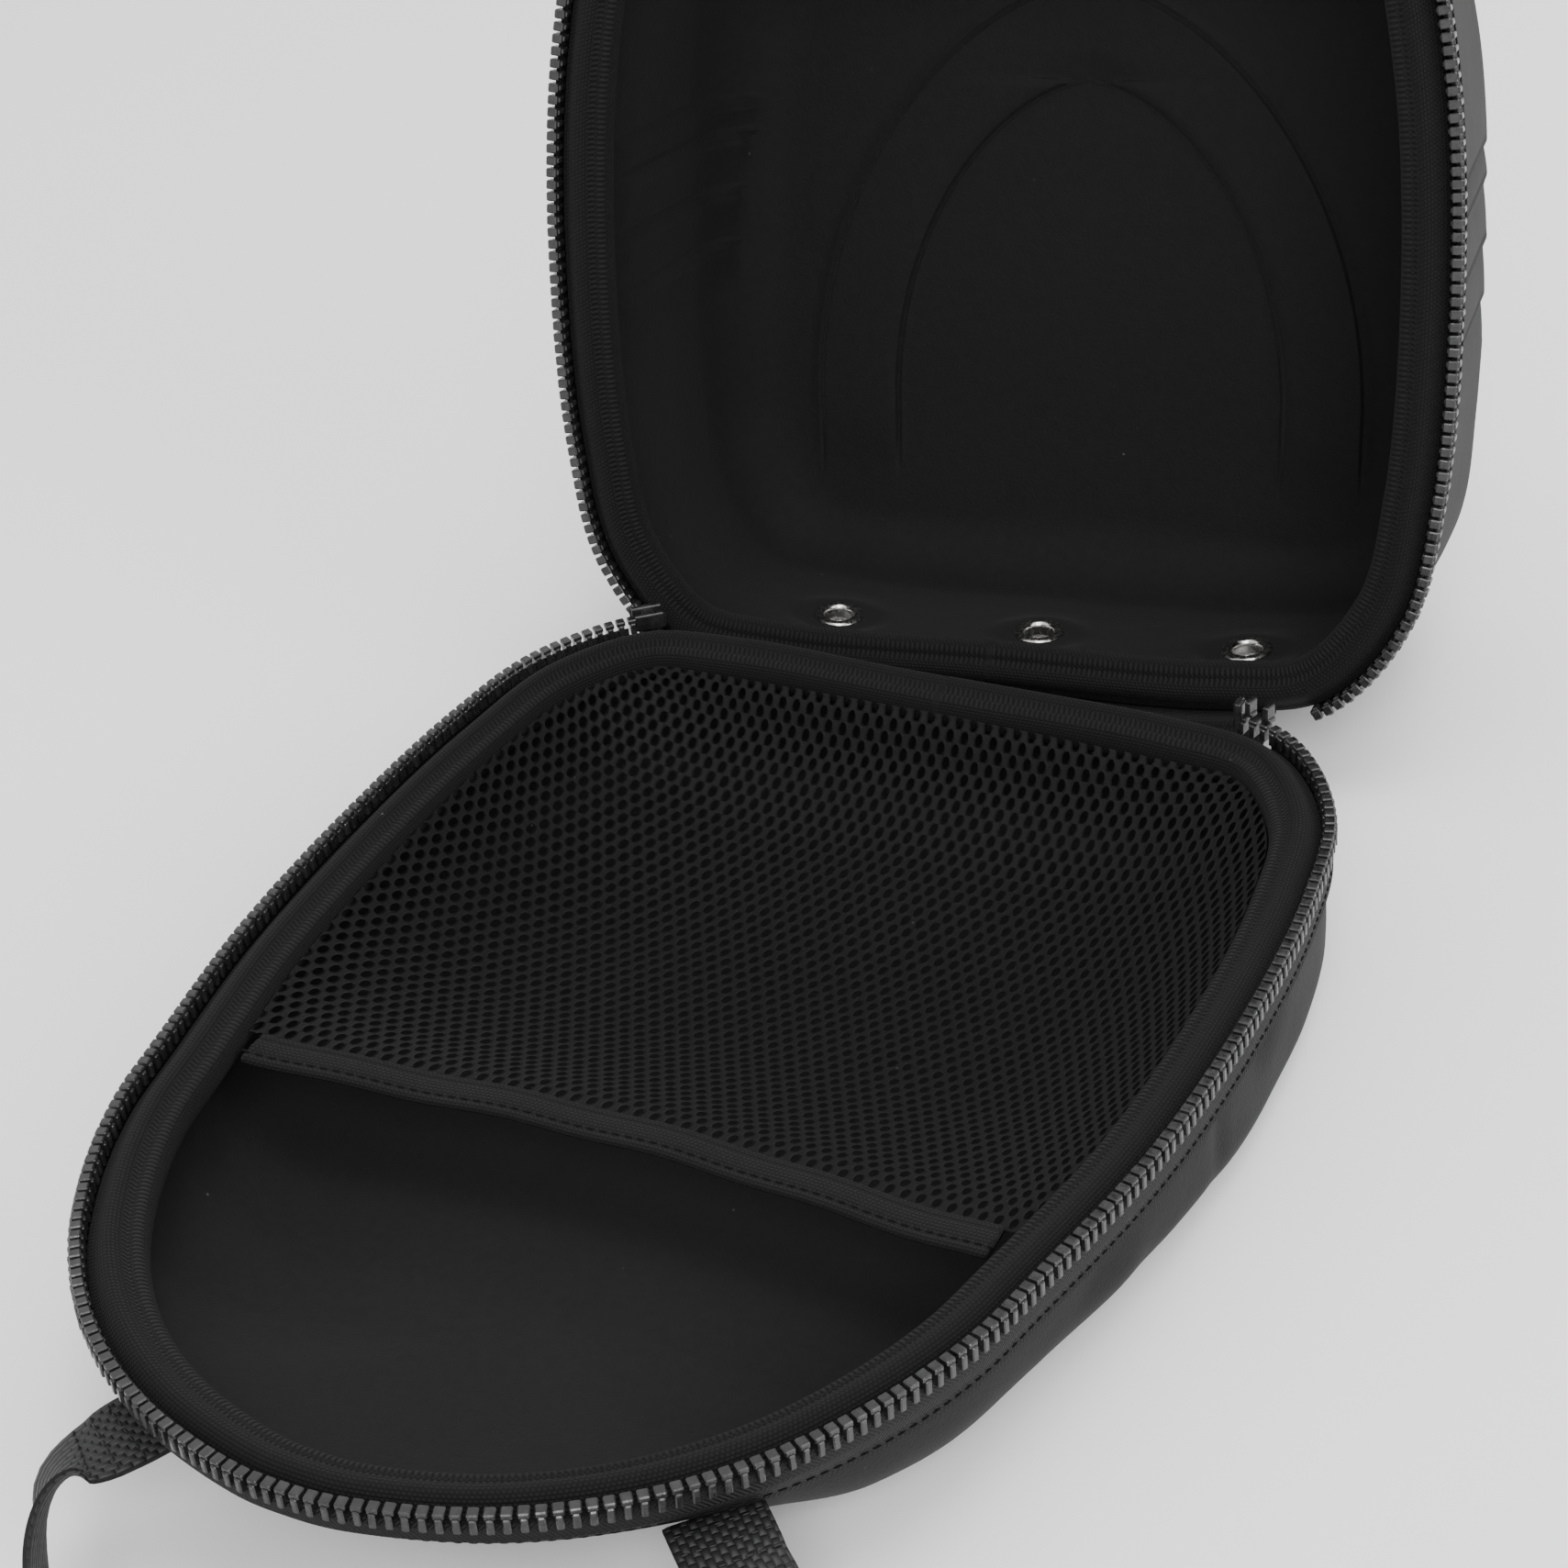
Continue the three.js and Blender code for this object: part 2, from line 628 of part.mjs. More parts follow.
// Section of the tape. Below the shell's edge it lies on the wall, wherever that leans.
function tapeSection() {
  const inner = SEAM_GAP;
  const low = SEAM_GAP * 2 + TEETH_HEIGHT;
  return [
    [inner, low],
    [inner, SHELL_EDGE],
    [inner, low + TAPE_HEIGHT],
    [inner + TAPE_THICKNESS, low + TAPE_HEIGHT],
    [inner + TAPE_THICKNESS, SHELL_EDGE],
    [inner + TAPE_THICKNESS, low],
  ];
}

function teethSection() {
  const middle = SEAM_GAP + TAPE_THICKNESS / 2;
  return [
    [middle - TEETH_THICKNESS / 2, SEAM_GAP],
    [middle + TEETH_THICKNESS / 2, SEAM_GAP],
    [middle + TEETH_THICKNESS / 2, SEAM_GAP + TEETH_HEIGHT],
    [middle - TEETH_THICKNESS / 2, SEAM_GAP + TEETH_HEIGHT],
  ];
}

// Flanged ring, centred on its seat with its axis along Y
function eyelet(name, seat) {
  const face = SHELL_WALL / 2 - EYELET_PRESS + SEAM_GAP + EYELET_FLANGE / 2;
  const barrel = cylinderAlongY(EYELET_HOLE + 2 * EYELET_FLANGE, 2 * face, 0);
  const inside = cylinderAlongY(EYELET_OUTER, EYELET_FLANGE, -face);
  const outside = cylinderAlongY(EYELET_OUTER, EYELET_FLANGE, face);
  const hole = cylinderAlongY(EYELET_HOLE, 6 * SHELL_WALL, 0);
  const mesh = named(name, geometryOf(barrel.add(inside).add(outside).subtract(hole)), nickel);
  mesh.position.copy(seat.point);
  mesh.rotation.set(seat.tilt, 0, seat.yaw, 'ZYX');
  return mesh;
}

// Half width of the space inside the binding at a place along the case
function halfWidthInside(y) {
  const offset = -SHELL_WALL - BINDING_WIDTH - 2 * SEAM_GAP;
  const side = RIM.filter((frame) => frame.x > 0).map((frame) => atRim(frame, offset, 0));
  const next = Math.max(1, side.findIndex((point) => point.y < y));
  const [before, after] = [side[next - 1], side[next]];
  const t = THREE.MathUtils.clamp((y - before.y) / (after.y - before.y), 0, 1);
  return THREE.MathUtils.lerp(before.x, after.x, t);
}

// Point of the net: along runs from the back rim to the hem, across from -1 to 1
function netPoint(along, across) {
  const back = BACK_Y - SHELL_WALL - BINDING_WIDTH - 2 * SEAM_GAP;
  const side = THREE.MathUtils.lerp(back, BACK_Y - POCKET_LENGTH, along);
  const y = side + along * POCKET_BOW * (1 - across * across);
  const sag = POCKET_SAG * tableValue(POCKET_BOWL, 'depth', along) * (1 - across ** 4);
  return new THREE.Vector3(across * halfWidthInside(side), y, zipHeight(side) - POCKET_RIM_DROP - sag);
}

function meshPocket() {
  const rows = POCKET_ROWS.map((along) => POCKET_COLUMNS.map((across) => netPoint(along, across)));
  return named('mesh_pocket', sheet(rows, NET_THICKNESS), netCloth);
}

// Woven hem along the free edge of the net
function pocketHem() {
  const edge = POCKET_COLUMNS.slice(1, -1).map((across) => netPoint(1, across));
  const rows = edge.map((point) => {
    const { x } = point;
    const back = point.y - SEAM_GAP;
    const top = point.z + (HEM_THICKNESS - NET_THICKNESS) / 2;
    return [
      new THREE.Vector3(x, back, top),
      new THREE.Vector3(x, back - HEM_WIDTH, top),
      new THREE.Vector3(x, back - HEM_WIDTH, top - HEM_THICKNESS),
      new THREE.Vector3(x, back, top - HEM_THICKNESS),
    ];
  });
  return named('pocket_hem', loft(rows), wovenCloth);
}

// Webbing loop. Each end lies flat under the tape, then the strap turns on edge and bends across.
function carryHandle() {
  const up = TAPE_END + SEAM_GAP + WEBBING_THICKNESS / 2;
  const ends = [HANDLE_LEFT_X, HANDLE_RIGHT_X].map((x) => frameAt(x, true));
  const [left, right] = ends.map((frame) => {
    const foot = wallOffset(BASE, frame, HANDLE_SEAT, up);
    return [0, 0.25, 0.5].map((share) => {
      const out = new THREE.Vector3(frame.normal.x, frame.normal.y, 0).multiplyScalar(share * HANDLE_REACH);
      return foot.clone().add(out).add(new THREE.Vector3(0, 0, -share * share * HANDLE_DROOP));
    });
  });
  const middle = (HANDLE_LEFT_X + HANDLE_RIGHT_X) / 2;
  const half = (HANDLE_RIGHT_X - HANDLE_LEFT_X) / 2;
  const low = left[0].z - HANDLE_DROOP;
  const bend = [-0.72, 0, 0.72].map((share) => (
    new THREE.Vector3(middle + share * half, yOf(1) - HANDLE_REACH * (1 - 0.3 * share * share), low)
  ));
  const curve = new THREE.CatmullRomCurve3([...left, ...bend, ...right.reverse()], false, 'centripetal');
  const rows = [];
  for (let step = 0; step <= HANDLE_STEPS; step += 1) {
    const t = step / HANDLE_STEPS;
    const tangent = curve.getTangentAt(t);
    const { normal } = t < 0.5 ? ends[0] : ends[1];
    const along = new THREE.Vector3(-normal.y, normal.x, 0);
    const edge = new THREE.Vector3(0, 0, t < 0.5 ? 1 : -1);
    const turned = THREE.MathUtils.smoothstep(Math.min(t, 1 - t), 0.02, 0.2);
    const width = along.multiplyScalar(1 - turned).addScaledVector(edge, turned);
    width.addScaledVector(tangent, -width.dot(tangent)).normalize().multiplyScalar(t < 0.5 ? 1 : -1);
    const thick = new THREE.Vector3().crossVectors(tangent, width).normalize();
    rows.push([[1, 1], [-1, 1], [-1, -1], [1, -1]].map(([side, face]) => curve.getPointAt(t)
      .addScaledVector(width, side * WEBBING_WIDTH / 2)
      .addScaledVector(thick, face * WEBBING_THICKNESS / 2)));
  }
  return named('carry_handle', loft(rows), webbing);
}

// Cloth band from the outside of the base's back wall, over the fold, to the outside of the lid's,
// in its open place
function hingeBand(toOpen) {
  const end = HINGE_WIDTH / 2;
  const held = RIM.filter((frame) => frame.y > 0 && Math.abs(frame.x) < end - 1);
  const edges = [frameAt(-end, false), frameAt(end, false)];
  const rows = [...held, ...edges].sort((a, b) => a.x - b.x).map(({ x, y: wall }) => {
    const y = wall + SEAM_GAP;
    const fold = BASE_HEIGHT - HINGE_DROP - x * Math.tan(THREE.MathUtils.degToRad(HINGE_TILT));
    const onLid = (offset, up) => new THREE.Vector3(x, wall + offset, BASE_HEIGHT + up).applyMatrix4(toOpen);
    const far = SEAM_GAP + HINGE_THICKNESS;
    const under = [
      new THREE.Vector3(x, y, BASE_HEIGHT - SHELL_EDGE),
      new THREE.Vector3(x, y, fold - 1),
      onLid(far, SHELL_EDGE - HINGE_SLACK),
      onLid(far, SHELL_EDGE + HINGE_LAP),
    ];
    const over = [
      under[0].clone().add(new THREE.Vector3(0, HINGE_THICKNESS, 0)),
      under[1].clone().add(new THREE.Vector3(0, HINGE_THICKNESS, HINGE_THICKNESS)),
      onLid(SEAM_GAP, SHELL_EDGE - HINGE_SLACK),
      onLid(SEAM_GAP, SHELL_EDGE + HINGE_LAP),
    ];
    return [...under, ...over.reverse()];
  });
  return named('hinge_band', loft(rows), wovenCloth);
}

// Slider with its pull, parked past the left end of the zip
function zipSlider() {
  const end = frameAt(-ZIP_END_FROM_MIDDLE, false);
  const yaw = -Math.atan2(end.normal.x, end.normal.y);
  const z = zipHeight(end.y) - SEAM_GAP - SLIDER_HEIGHT / 2;
  const box = (width, depth, height, out, up) => {
    const geometry = new THREE.BoxGeometry(width, depth, height);
    geometry.deleteAttribute('normal');
    geometry.deleteAttribute('uv');
    geometry.translate(SLIDER_LENGTH / 2 + SEAM_GAP, out, up);
    geometry.rotateZ(yaw);
    geometry.translate(end.x, end.y, 0);
    return manifoldOf(mergeVertices(geometry, 1e-4));
  };
  const out = 3 * SEAM_GAP + SLIDER_WIDTH / 2;
  const body = box(SLIDER_LENGTH, SLIDER_WIDTH, SLIDER_HEIGHT, out, z);
  const pullOut = out + SLIDER_WIDTH / 2 - PULL_THICKNESS / 2;
  const pull = box(PULL_WIDTH, PULL_THICKNESS, PULL_LENGTH, pullOut, z - PULL_LENGTH / 2);
  return named('zip_slider', geometryOf(body.add(pull)), toothPlastic);
}

// The lid's pieces hang in a group that turns about the hinge line
const hingePoint = new THREE.Vector3(0, BACK_Y + HINGE_SETBACK, BASE_HEIGHT - HINGE_DROP);
const hingeAxis = new THREE.Vector3(
  1,
  Math.tan(THREE.MathUtils.degToRad(HINGE_YAW)),
  -Math.tan(THREE.MathUtils.degToRad(HINGE_TILT)),
).normalize();
const swing = new THREE.Quaternion().setFromAxisAngle(hingeAxis, -THREE.MathUtils.degToRad(OPEN_ANGLE));

const lidTurn = new THREE.Group();
lidTurn.position.copy(hingePoint);
lidTurn.quaternion.copy(swing);
const lidClosed = new THREE.Group();
lidClosed.position.copy(hingePoint).negate();
lidTurn.add(lidClosed);
lidTurn.updateMatrixWorld(true);

lidClosed.add(
  lidShell(),
  bindingPiece('lid_binding', LID),
  zipStrip('lid_zip_tape', LID, tapeSection(), wovenCloth),
  zipStrip('lid_zip_teeth', LID, teethSection(), toothPlastic),
);
['left', 'middle', 'right'].forEach((side, i) => {
  lidClosed.add(eyelet(`eyelet_${side}`, eyeletSeats()[i]));
});

const caseGroup = new THREE.Group();
caseGroup.add(
  baseShell(),
  bindingPiece('base_binding', BASE),
  zipStrip('base_zip_tape', BASE, tapeSection(), wovenCloth),
  zipStrip('base_zip_teeth', BASE, teethSection(), toothPlastic),
  meshPocket(),
  pocketHem(),
  hingeBand(lidClosed.matrixWorld),
  carryHandle(),
  zipSlider(),
  lidTurn,
);

export default caseGroup;
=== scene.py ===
import math

import bmesh
import bpy
import numpy as np
from mathutils import Matrix, Vector


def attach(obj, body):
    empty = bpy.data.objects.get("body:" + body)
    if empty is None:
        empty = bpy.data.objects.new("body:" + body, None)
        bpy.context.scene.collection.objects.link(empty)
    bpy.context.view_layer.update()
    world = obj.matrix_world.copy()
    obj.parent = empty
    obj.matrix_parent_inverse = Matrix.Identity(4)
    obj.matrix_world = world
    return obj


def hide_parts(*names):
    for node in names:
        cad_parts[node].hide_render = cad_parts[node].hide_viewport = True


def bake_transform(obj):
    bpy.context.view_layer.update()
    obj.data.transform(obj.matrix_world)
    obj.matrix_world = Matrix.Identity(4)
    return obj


bl_info = {
    "name": "Zip clamshell case",
    "version": (1, 0, 0),
    "blender": (4, 5, 0),
    "location": "3D View > Sidebar > Case",
    "description": "Dresses the moulded zip case in cloth, net, webbing, teeth and metal",
    "category": "Object",
}

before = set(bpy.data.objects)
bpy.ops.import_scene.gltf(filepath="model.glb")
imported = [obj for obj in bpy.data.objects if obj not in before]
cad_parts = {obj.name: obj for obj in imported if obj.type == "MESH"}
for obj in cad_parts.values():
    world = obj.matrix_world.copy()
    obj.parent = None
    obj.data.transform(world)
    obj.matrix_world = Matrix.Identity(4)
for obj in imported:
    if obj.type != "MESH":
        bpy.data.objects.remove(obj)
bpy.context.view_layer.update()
BASE_BODY = "base"
LID_BODY = "lid"

# Sizes below are in metres. The frame is the one of the CAD: +Z up, nose towards -Y, origin on the
# flat underside half way between hinge edge and nose.
MM = 0.001
HINGE_YAW = math.radians(4.5)
HINGE_TILT = math.radians(3.67)
HINGE_POINT = Vector((0.0, 0.1521, 0.027))
HINGE_AXIS = Vector((1.0, math.tan(HINGE_YAW), -math.tan(HINGE_TILT))).normalized()
OPEN_ANGLE = math.radians(101.8)

# Half width of the rim as a share of half the width, at shares of the length from hinge to nose
OUTLINE_ACROSS = (0, 0.51, 0.758, 0.926, 0.983, 1, 0.977, 0.915, 0.877, 0.803, 0.69, 0.532, 0.333,
                  0.106, 0)
OUTLINE_ALONG = (0, 0, 0.017, 0.096, 0.2, 0.36, 0.515, 0.65, 0.72, 0.792, 0.863, 0.925, 0.971,
                 0.997, 1)

# Walls at shares of the length: inward lean, corner radius across and corner radius up
BASE_WALL = {
    "along": (0, 0.3, 0.43, 0.53, 0.62, 0.72, 0.79, 0.86, 0.94, 1),
    "draft": (0, 0, 0.02, 0.07, 0.1, 0.1, 0.16, 0.44, 0.78, 0.82),
    "run": (0.32, 0.32, 0.44, 0.52, 0.62, 0.76, 0.86, 0.94, 1, 1),
    "rise": (0.33, 0.33, 0.45, 0.5, 0.55, 0.65, 0.7, 0.74, 0.75, 0.75),
}
LID_WALL = {
    "along": (0, 0.1, 0.25, 0.5, 0.65, 0.8, 1),
    "draft": (-0.066, -0.02, 0.02, 0.04, 0.06, 0.12, 0.22),
    "run": (0.22, 0.22, 0.23, 0.25, 0.3, 0.44, 0.62),
    "rise": (0.23, 0.23, 0.25, 0.28, 0.34, 0.5, 0.62),
}
LID_TOP = {
    "along": (0, 0.15, 0.5, 0.57, 0.65, 0.73, 0.81, 0.9, 1),
    "height": (0.985, 1, 1, 0.97, 0.85, 0.67, 0.53, 0.44, 0.38),
}
NET_BOWL = {
    "along": (0, 0.06, 0.2, 0.42, 0.65, 0.85, 1),
    "depth": (0, 0.4, 0.84, 1, 0.86, 0.5, 0.2),
}
# Raised edges of the slats in the lid's sides, forward of the hinge edge
SLAT_EDGES = (0.081, 0.0935, 0.109, 0.125, 0.1345)
# Where the shells' tops close up, as shares of the length
SPINE_BACK = 0.25
SPINE_NOSE = 0.636

# Hollows in the base's wall: share of the length, height, share wide, height tall, and depth
BASE_DENTS = ((0.31, 0.019, 0.035, 0.006, 0.0018), (0.40, 0.028, 0.012, 0.012, 0.0007),
              (0.56, 0.022, 0.045, 0.008, 0.0012), (0.50, 0.034, 0.02, 0.006, 0.0006))

# How high the slats stand on the outside, as a share of their height inside
OUTER_SLATS = 0.4

# Arches of the lid, forward of the hinge edge
ARCH_SPRING = 0.050
OUTER_ARCH_APEX = 0.168
INNER_ARCH_APEX = 0.141

# Seats pressed round the eyelets, and the hole in the cloth under each
SEAT_OUTER = 0.0170
SEAT_INNER = 0.0080
SEAT_REACH = 0.02
CLOTH_HOLE = 0.0048

# Cloth hinge
HINGE_HALF_WIDTH = 0.074
HINGE_DROP = 0.0225
HINGE_THICKNESS = 0.0012
HINGE_SAG = 0.0016
HINGE_RIPPLE = 0.0007

# Sewn ends of the handle, from the middle plane
HANDLE_ENDS = (-0.046, 0.072)
HANDLE_MIDDLE = 0.013
HANDLE_HALF = 0.059

# Holes of the net: steps across and along
NET_ACROSS = 0.0039
NET_ALONG = 0.0035

# Ribbed rows of the binding: their pitch, and where each lies across it
RIB_PITCH = 0.00135
RIB_ROWS = ((0.0118, 0.0136), (0.0144, 0.0166))

# Steps round the rim: fine for what is placed on it, finest for the line of the teeth
RIM_STEPS = 900
CHAIN_STEPS = 1400

# Camera at the photo's angle
CAMERA_PLACE = (0.30471, -0.46526, 0.46851)
CAMERA_ANGLES = (30.22, 33.29, -6.10)
FOCAL_SHARE = 3480.81 / 1709
SENSOR = 36.0

# Stitches: length, thickness and pitch
TAPE_STITCH = (0.0021, 0.00055, 0.0029)
HEM_STITCH = (0.0022, 0.0006, 0.0031)
HANDLE_STITCH = (0.0019, 0.0006, 0.0026)
STITCH_LOOSENESS = 0.05

# Lamps: name, place, width and power
LIGHTS = (("key", (0.9, -1.6, 1.5), 1.0, 36), ("side", (1.7, -0.2, 1.2), 0.8, 9),
          ("top", (0.3, -0.2, 2.0), 0.8, 14), ("back", (0.3, 1.6, 1.5), 1.2, 14))
LIGHT_AIM = (0, 0.05, 0.1)

UP = (0, 0, 1.0)


def size(name, text, value):
    return bpy.props.FloatProperty(
        name=name, description=text, default=value, unit="LENGTH", subtype="DISTANCE", precision=5)


def colour(name, text, value):
    return bpy.props.FloatVectorProperty(
        name=name, description=text, default=value, size=3, subtype="COLOR", min=0, max=1)


class CaseSizes(bpy.types.PropertyGroup):
    length: size("Length", "From the hinge edge to the nose, at the rim", 0.302)
    width: size("Width", "Across the rim at its widest", 0.2292)
    base_height: size("Base height", "From the underside to the middle plane of the zip", 0.0495)
    lid_height: size("Lid height", "From the middle plane of the zip to the top", 0.112)
    wall: size("Wall", "Thickness of the moulded shells", 0.003)
    rim_sag: size("Rim sag", "How far the rim dips between hinge and nose", 0.0036)
    camber: size("Camber", "How far the top of the lid falls at its sides", 0.0025)
    shell_edge: size("Shell edge", "From the zip's middle plane to the edge of a shell", 0.008)
    tape_end: size("Tape end", "From the zip's middle plane to the far edge of the tape", 0.014)
    tape: size("Tape", "Thickness of the zip's tape", 0.001)
    gap: size("Gap", "Clearance between neighbouring pieces", 0.0003)
    tooth_pitch: size("Tooth pitch", "From one tooth to the next", 0.0031)
    chain_left_end: size("Chain left end", "From the middle plane to the slider", 0.0903)
    chain_end: size("Chain end", "From the middle plane to the chain's joined right end", 0.0757)
    chain_split: size("Chain split", "From the middle plane to where the chain parts", 0.0835)
    binding: size("Binding", "Width of the rolled binding", 0.010)
    relief: size("Relief", "Depth of the arch pressed into the lid", 0.0015)
    slat_relief: size("Slat relief", "Height of the slats pressed into the lid's sides", 0.0034)
    inner_arch: size("Inner arch", "Half width of the inner arch", 0.056)
    outer_arch: size("Outer arch", "Half width of the outer arch", 0.079)
    eyelet_spacing: size("Eyelet spacing", "From one eyelet to the next", 0.058)
    eyelet_height: size("Eyelet height", "From the zip's middle plane to the eyelets", 0.054)
    eyelet: size("Eyelet", "Diameter of an eyelet's flange", 0.014)
    eyelet_hole: size("Eyelet hole", "Diameter of an eyelet's hole", 0.008)
    eyelet_lean: bpy.props.FloatProperty(
        name="Eyelet lean", description="How far the eyelets lean towards the lid's top",
        default=math.radians(12), subtype="ANGLE")
    net_length: size("Net length", "From the hinge edge to the net's hem", 0.181)
    net_drop: size("Net drop", "From the zip's middle plane to the net's held edge", 0.007)
    net_sag: size("Net sag", "Depth of the net's bowl", 0.029)
    net_bow: size("Net bow", "How far the hem bows backwards", 0.010)
    hem: size("Hem", "Width of the net's hem", 0.009)
    slider_length: size("Slider length", "Along the zip", 0.009)
    slider_width: size("Slider width", "Outwards from the rim", 0.006)
    slider_height: size("Slider height", "Height of the slider's body", 0.005)
    strap: size("Webbing", "Width of the handle's webbing", 0.020)
    strap_thickness: size("Webbing thickness", "Thickness of the webbing", 0.0016)
    handle_reach: size("Handle reach", "How far the handle stands out from the nose", 0.046)
    handle_droop: size("Handle droop", "How far the handle hangs down", 0.010)


class CaseColours(bpy.types.PropertyGroup):
    shell: colour("Shell", "Cloth moulded over the shells", (0.0095, 0.0094, 0.0098))
    trim: colour("Trim", "Binding, tapes, hem and hinge", (0.0048, 0.0047, 0.0050))
    net: colour("Net", "Knitted net", (0.0034, 0.0033, 0.0036))
    webbing: colour("Webbing", "Handle", (0.0070, 0.0070, 0.0075))
    teeth: colour("Teeth", "Moulded teeth", (0.0090, 0.0090, 0.0094))
    metal: colour("Metal", "Eyelets", (0.66, 0.65, 0.63))


# Curves and tables


def table(rows, column, along):
    """Smooth curve through a table's rows, level where the column turns back."""
    at = np.asarray(rows["along"], float)
    values = np.asarray(rows[column], float)
    share = np.clip(along, 0.0, 1.0)
    step = np.diff(at)
    rate = np.diff(values) / step
    slope = np.zeros(len(at))
    both = rate[:-1] * rate[1:]
    total = rate[:-1] + rate[1:]
    slope[1:-1] = np.where(both > 0, 2 * both / np.where(total == 0, 1, total), 0)
    k = np.clip(np.searchsorted(at, share, side="left") - 1, 0, len(step) - 1)
    t = (share - at[k]) / step[k]
    return (values[k] * (1 + 2 * t) * (1 - t) ** 2 + slope[k] * step[k] * t * (1 - t) ** 2
            + values[k + 1] * t * t * (3 - 2 * t) - slope[k + 1] * step[k] * t * t * (1 - t))


def smoothstep(low, high, value):
    t = np.clip((value - low) / (high - low), 0.0, 1.0)
    return t * t * (3 - 2 * t)


def centripetal(points, closed, per_span):
    """Points along a centripetal Catmull-Rom curve through control points."""
    points = [np.asarray(p, float) for p in points]
    count = len(points)
    spans = count if closed else count - 1
    out = []
    for span in range(spans):
        p1, p2 = points[span % count], points[(span + 1) % count]
        p0 = points[span - 1] if closed or span else 2 * p1 - p2
        p3 = points[(span + 2) % count] if closed or span < spans - 1 else 2 * p2 - p1
        d0, d1, d2 = (max(np.linalg.norm(b - a) ** 0.5, 1e-9)
                      for a, b in ((p0, p1), (p1, p2), (p2, p3)))
        m1 = ((p1 - p0) / d0 - (p2 - p0) / (d0 + d1) + (p2 - p1) / d1) * d1
        m2 = ((p2 - p1) / d1 - (p3 - p1) / (d1 + d2) + (p3 - p2) / d2) * d1
        for t in np.arange(per_span) / per_span:
            out.append(p1 * (2 * t ** 3 - 3 * t * t + 1) + m1 * (t ** 3 - 2 * t * t + t)
                       + p2 * (3 * t * t - 2 * t ** 3) + m2 * (t ** 3 - t * t))
    if not closed:
        out.append(points[-1])
    return np.array(out)


def lengths_along(points):
    """Length travelled at each point of a line."""
    return np.concatenate([[0], np.cumsum(np.linalg.norm(np.diff(points, axis=0), axis=1))])


def unit(vectors):
    return vectors / np.linalg.norm(vectors, axis=-1, keepdims=True)


def resample(points, count):
    """Points at equal steps along a line."""
    lengths = lengths_along(points)
    places = np.linspace(0, lengths[-1], count)
    return np.stack([np.interp(places, lengths, points[:, i]) for i in range(points.shape[1])], 1)


# Shape of the case, closed


class Rim:
    """Points and outward directions round the rim, clockwise from the middle of the hinge edge."""

    def __init__(self, sizes, steps):
        half_width = sizes.width / 2
        self.back = sizes.length / 2
        right = [(a * half_width, self.back - s * sizes.length)
                 for a, s in zip(OUTLINE_ACROSS, OUTLINE_ALONG)]
        left = [(-x, y) for x, y in reversed(right[1:-1])]
        line = centripetal(right + left, True, 80)
        line = line[:80 * (len(right) - 1) + 1]
        half = resample(line, steps // 2 + 1)
        half[0, 0] = half[-1, 0] = 0.0
        points = np.concatenate([half, (half * (-1, 1))[-2:0:-1]])
        tangent = unit(np.roll(points, -1, 0) - np.roll(points, 1, 0))
        self.points = points
        self.normals = np.stack([-tangent[:, 1], tangent[:, 0]], 1)
        self.along = (self.back - points[:, 1]) / sizes.length
        self.steps = len(points)
        spine = self.back - np.clip(self.along, SPINE_BACK, SPINE_NOSE) * sizes.length
        self.spine = np.stack([np.zeros(self.steps), spine], 1)
        self.inwards = unit(self.spine - points)
        self.travel = lengths_along(points)

    def dip(self, sizes):
        return -sizes.rim_sag * np.sin(np.pi * np.clip(self.along, 0, 1))


def base_top(sizes, x, y):
    return np.full(np.shape(x), sizes.base_height)


def lid_top(sizes, x, y):
    along = (sizes.length / 2 - y) / sizes.length
    across = x / (sizes.width / 2)
    return sizes.lid_height * table(LID_TOP, "height", along) - sizes.camber * across * across


HALVES = {
    "base": {"wall": BASE_WALL, "top": base_top, "side": -1},
    "lid": {"wall": LID_WALL, "top": lid_top, "side": 1},
}


def wall_points(sizes, rim, half, depth, inset):
    """Wall at a share of its depth for each step of the rim, measured up from the zip's plane."""
    points, along = rim.points, rim.along
    height = half["top"](sizes, points[:, 0], points[:, 1])
    rise = table(half["wall"], "rise", along)
    run = table(half["wall"], "run", along) * height - inset
    draft = table(half["wall"], "draft", along) * height
    depth = depth(rise) if callable(depth) else np.full(rim.steps, depth)
    turn = np.clip((depth - 1 + rise) / rise, 0, 1)
    inward = draft * depth + run * (1 - np.sqrt(1 - turn * turn))
    flat = points - rim.normals * inset + rim.inwards * inward[:, None]
    edge = sizes.shell_edge + half["side"] * rim.dip(sizes)
    top = half["top"](sizes, flat[:, 0], flat[:, 1])
    z = edge + (top - edge) * depth - inset * turn
    return np.column_stack([flat, z])


def lean(sizes, rim, half, up):
    """How far the wall has moved inwards at a height above the zip's plane."""
    points, along = rim.points, rim.along
    height = half["top"](sizes, points[:, 0], points[:, 1])
    depth = np.clip((up - sizes.shell_edge) / (height - sizes.shell_edge), 0, 1)
    rise = table(half["wall"], "rise", along)
    run = table(half["wall"], "run", along) * height
    turn = np.clip((depth - 1 + rise) / rise, 0, 1)
    return table(half["wall"], "draft", along) * height * depth + run * (1 - np.sqrt(1 - turn * turn))


def rim_row(sizes, rim, half, offset, up, on_wall=False):
    """Row of points round the rim at an outward offset and a height above the zip's plane."""
    flat = rim.points + rim.normals * (offset if np.ndim(offset) == 0 else offset[:, None])
    if on_wall:
        flat = flat + rim.inwards * lean(sizes, rim, half, up)[:, None]
    return np.column_stack([flat, rim.dip(sizes) * half["side"] + up])


def stand(sizes, half, points):
    """Half's points, measured up from the zip's plane, set in their place in the closed case."""
    points = np.array(points, float)
    points[..., 2] = sizes.base_height + half["side"] * points[..., 2]
    return points


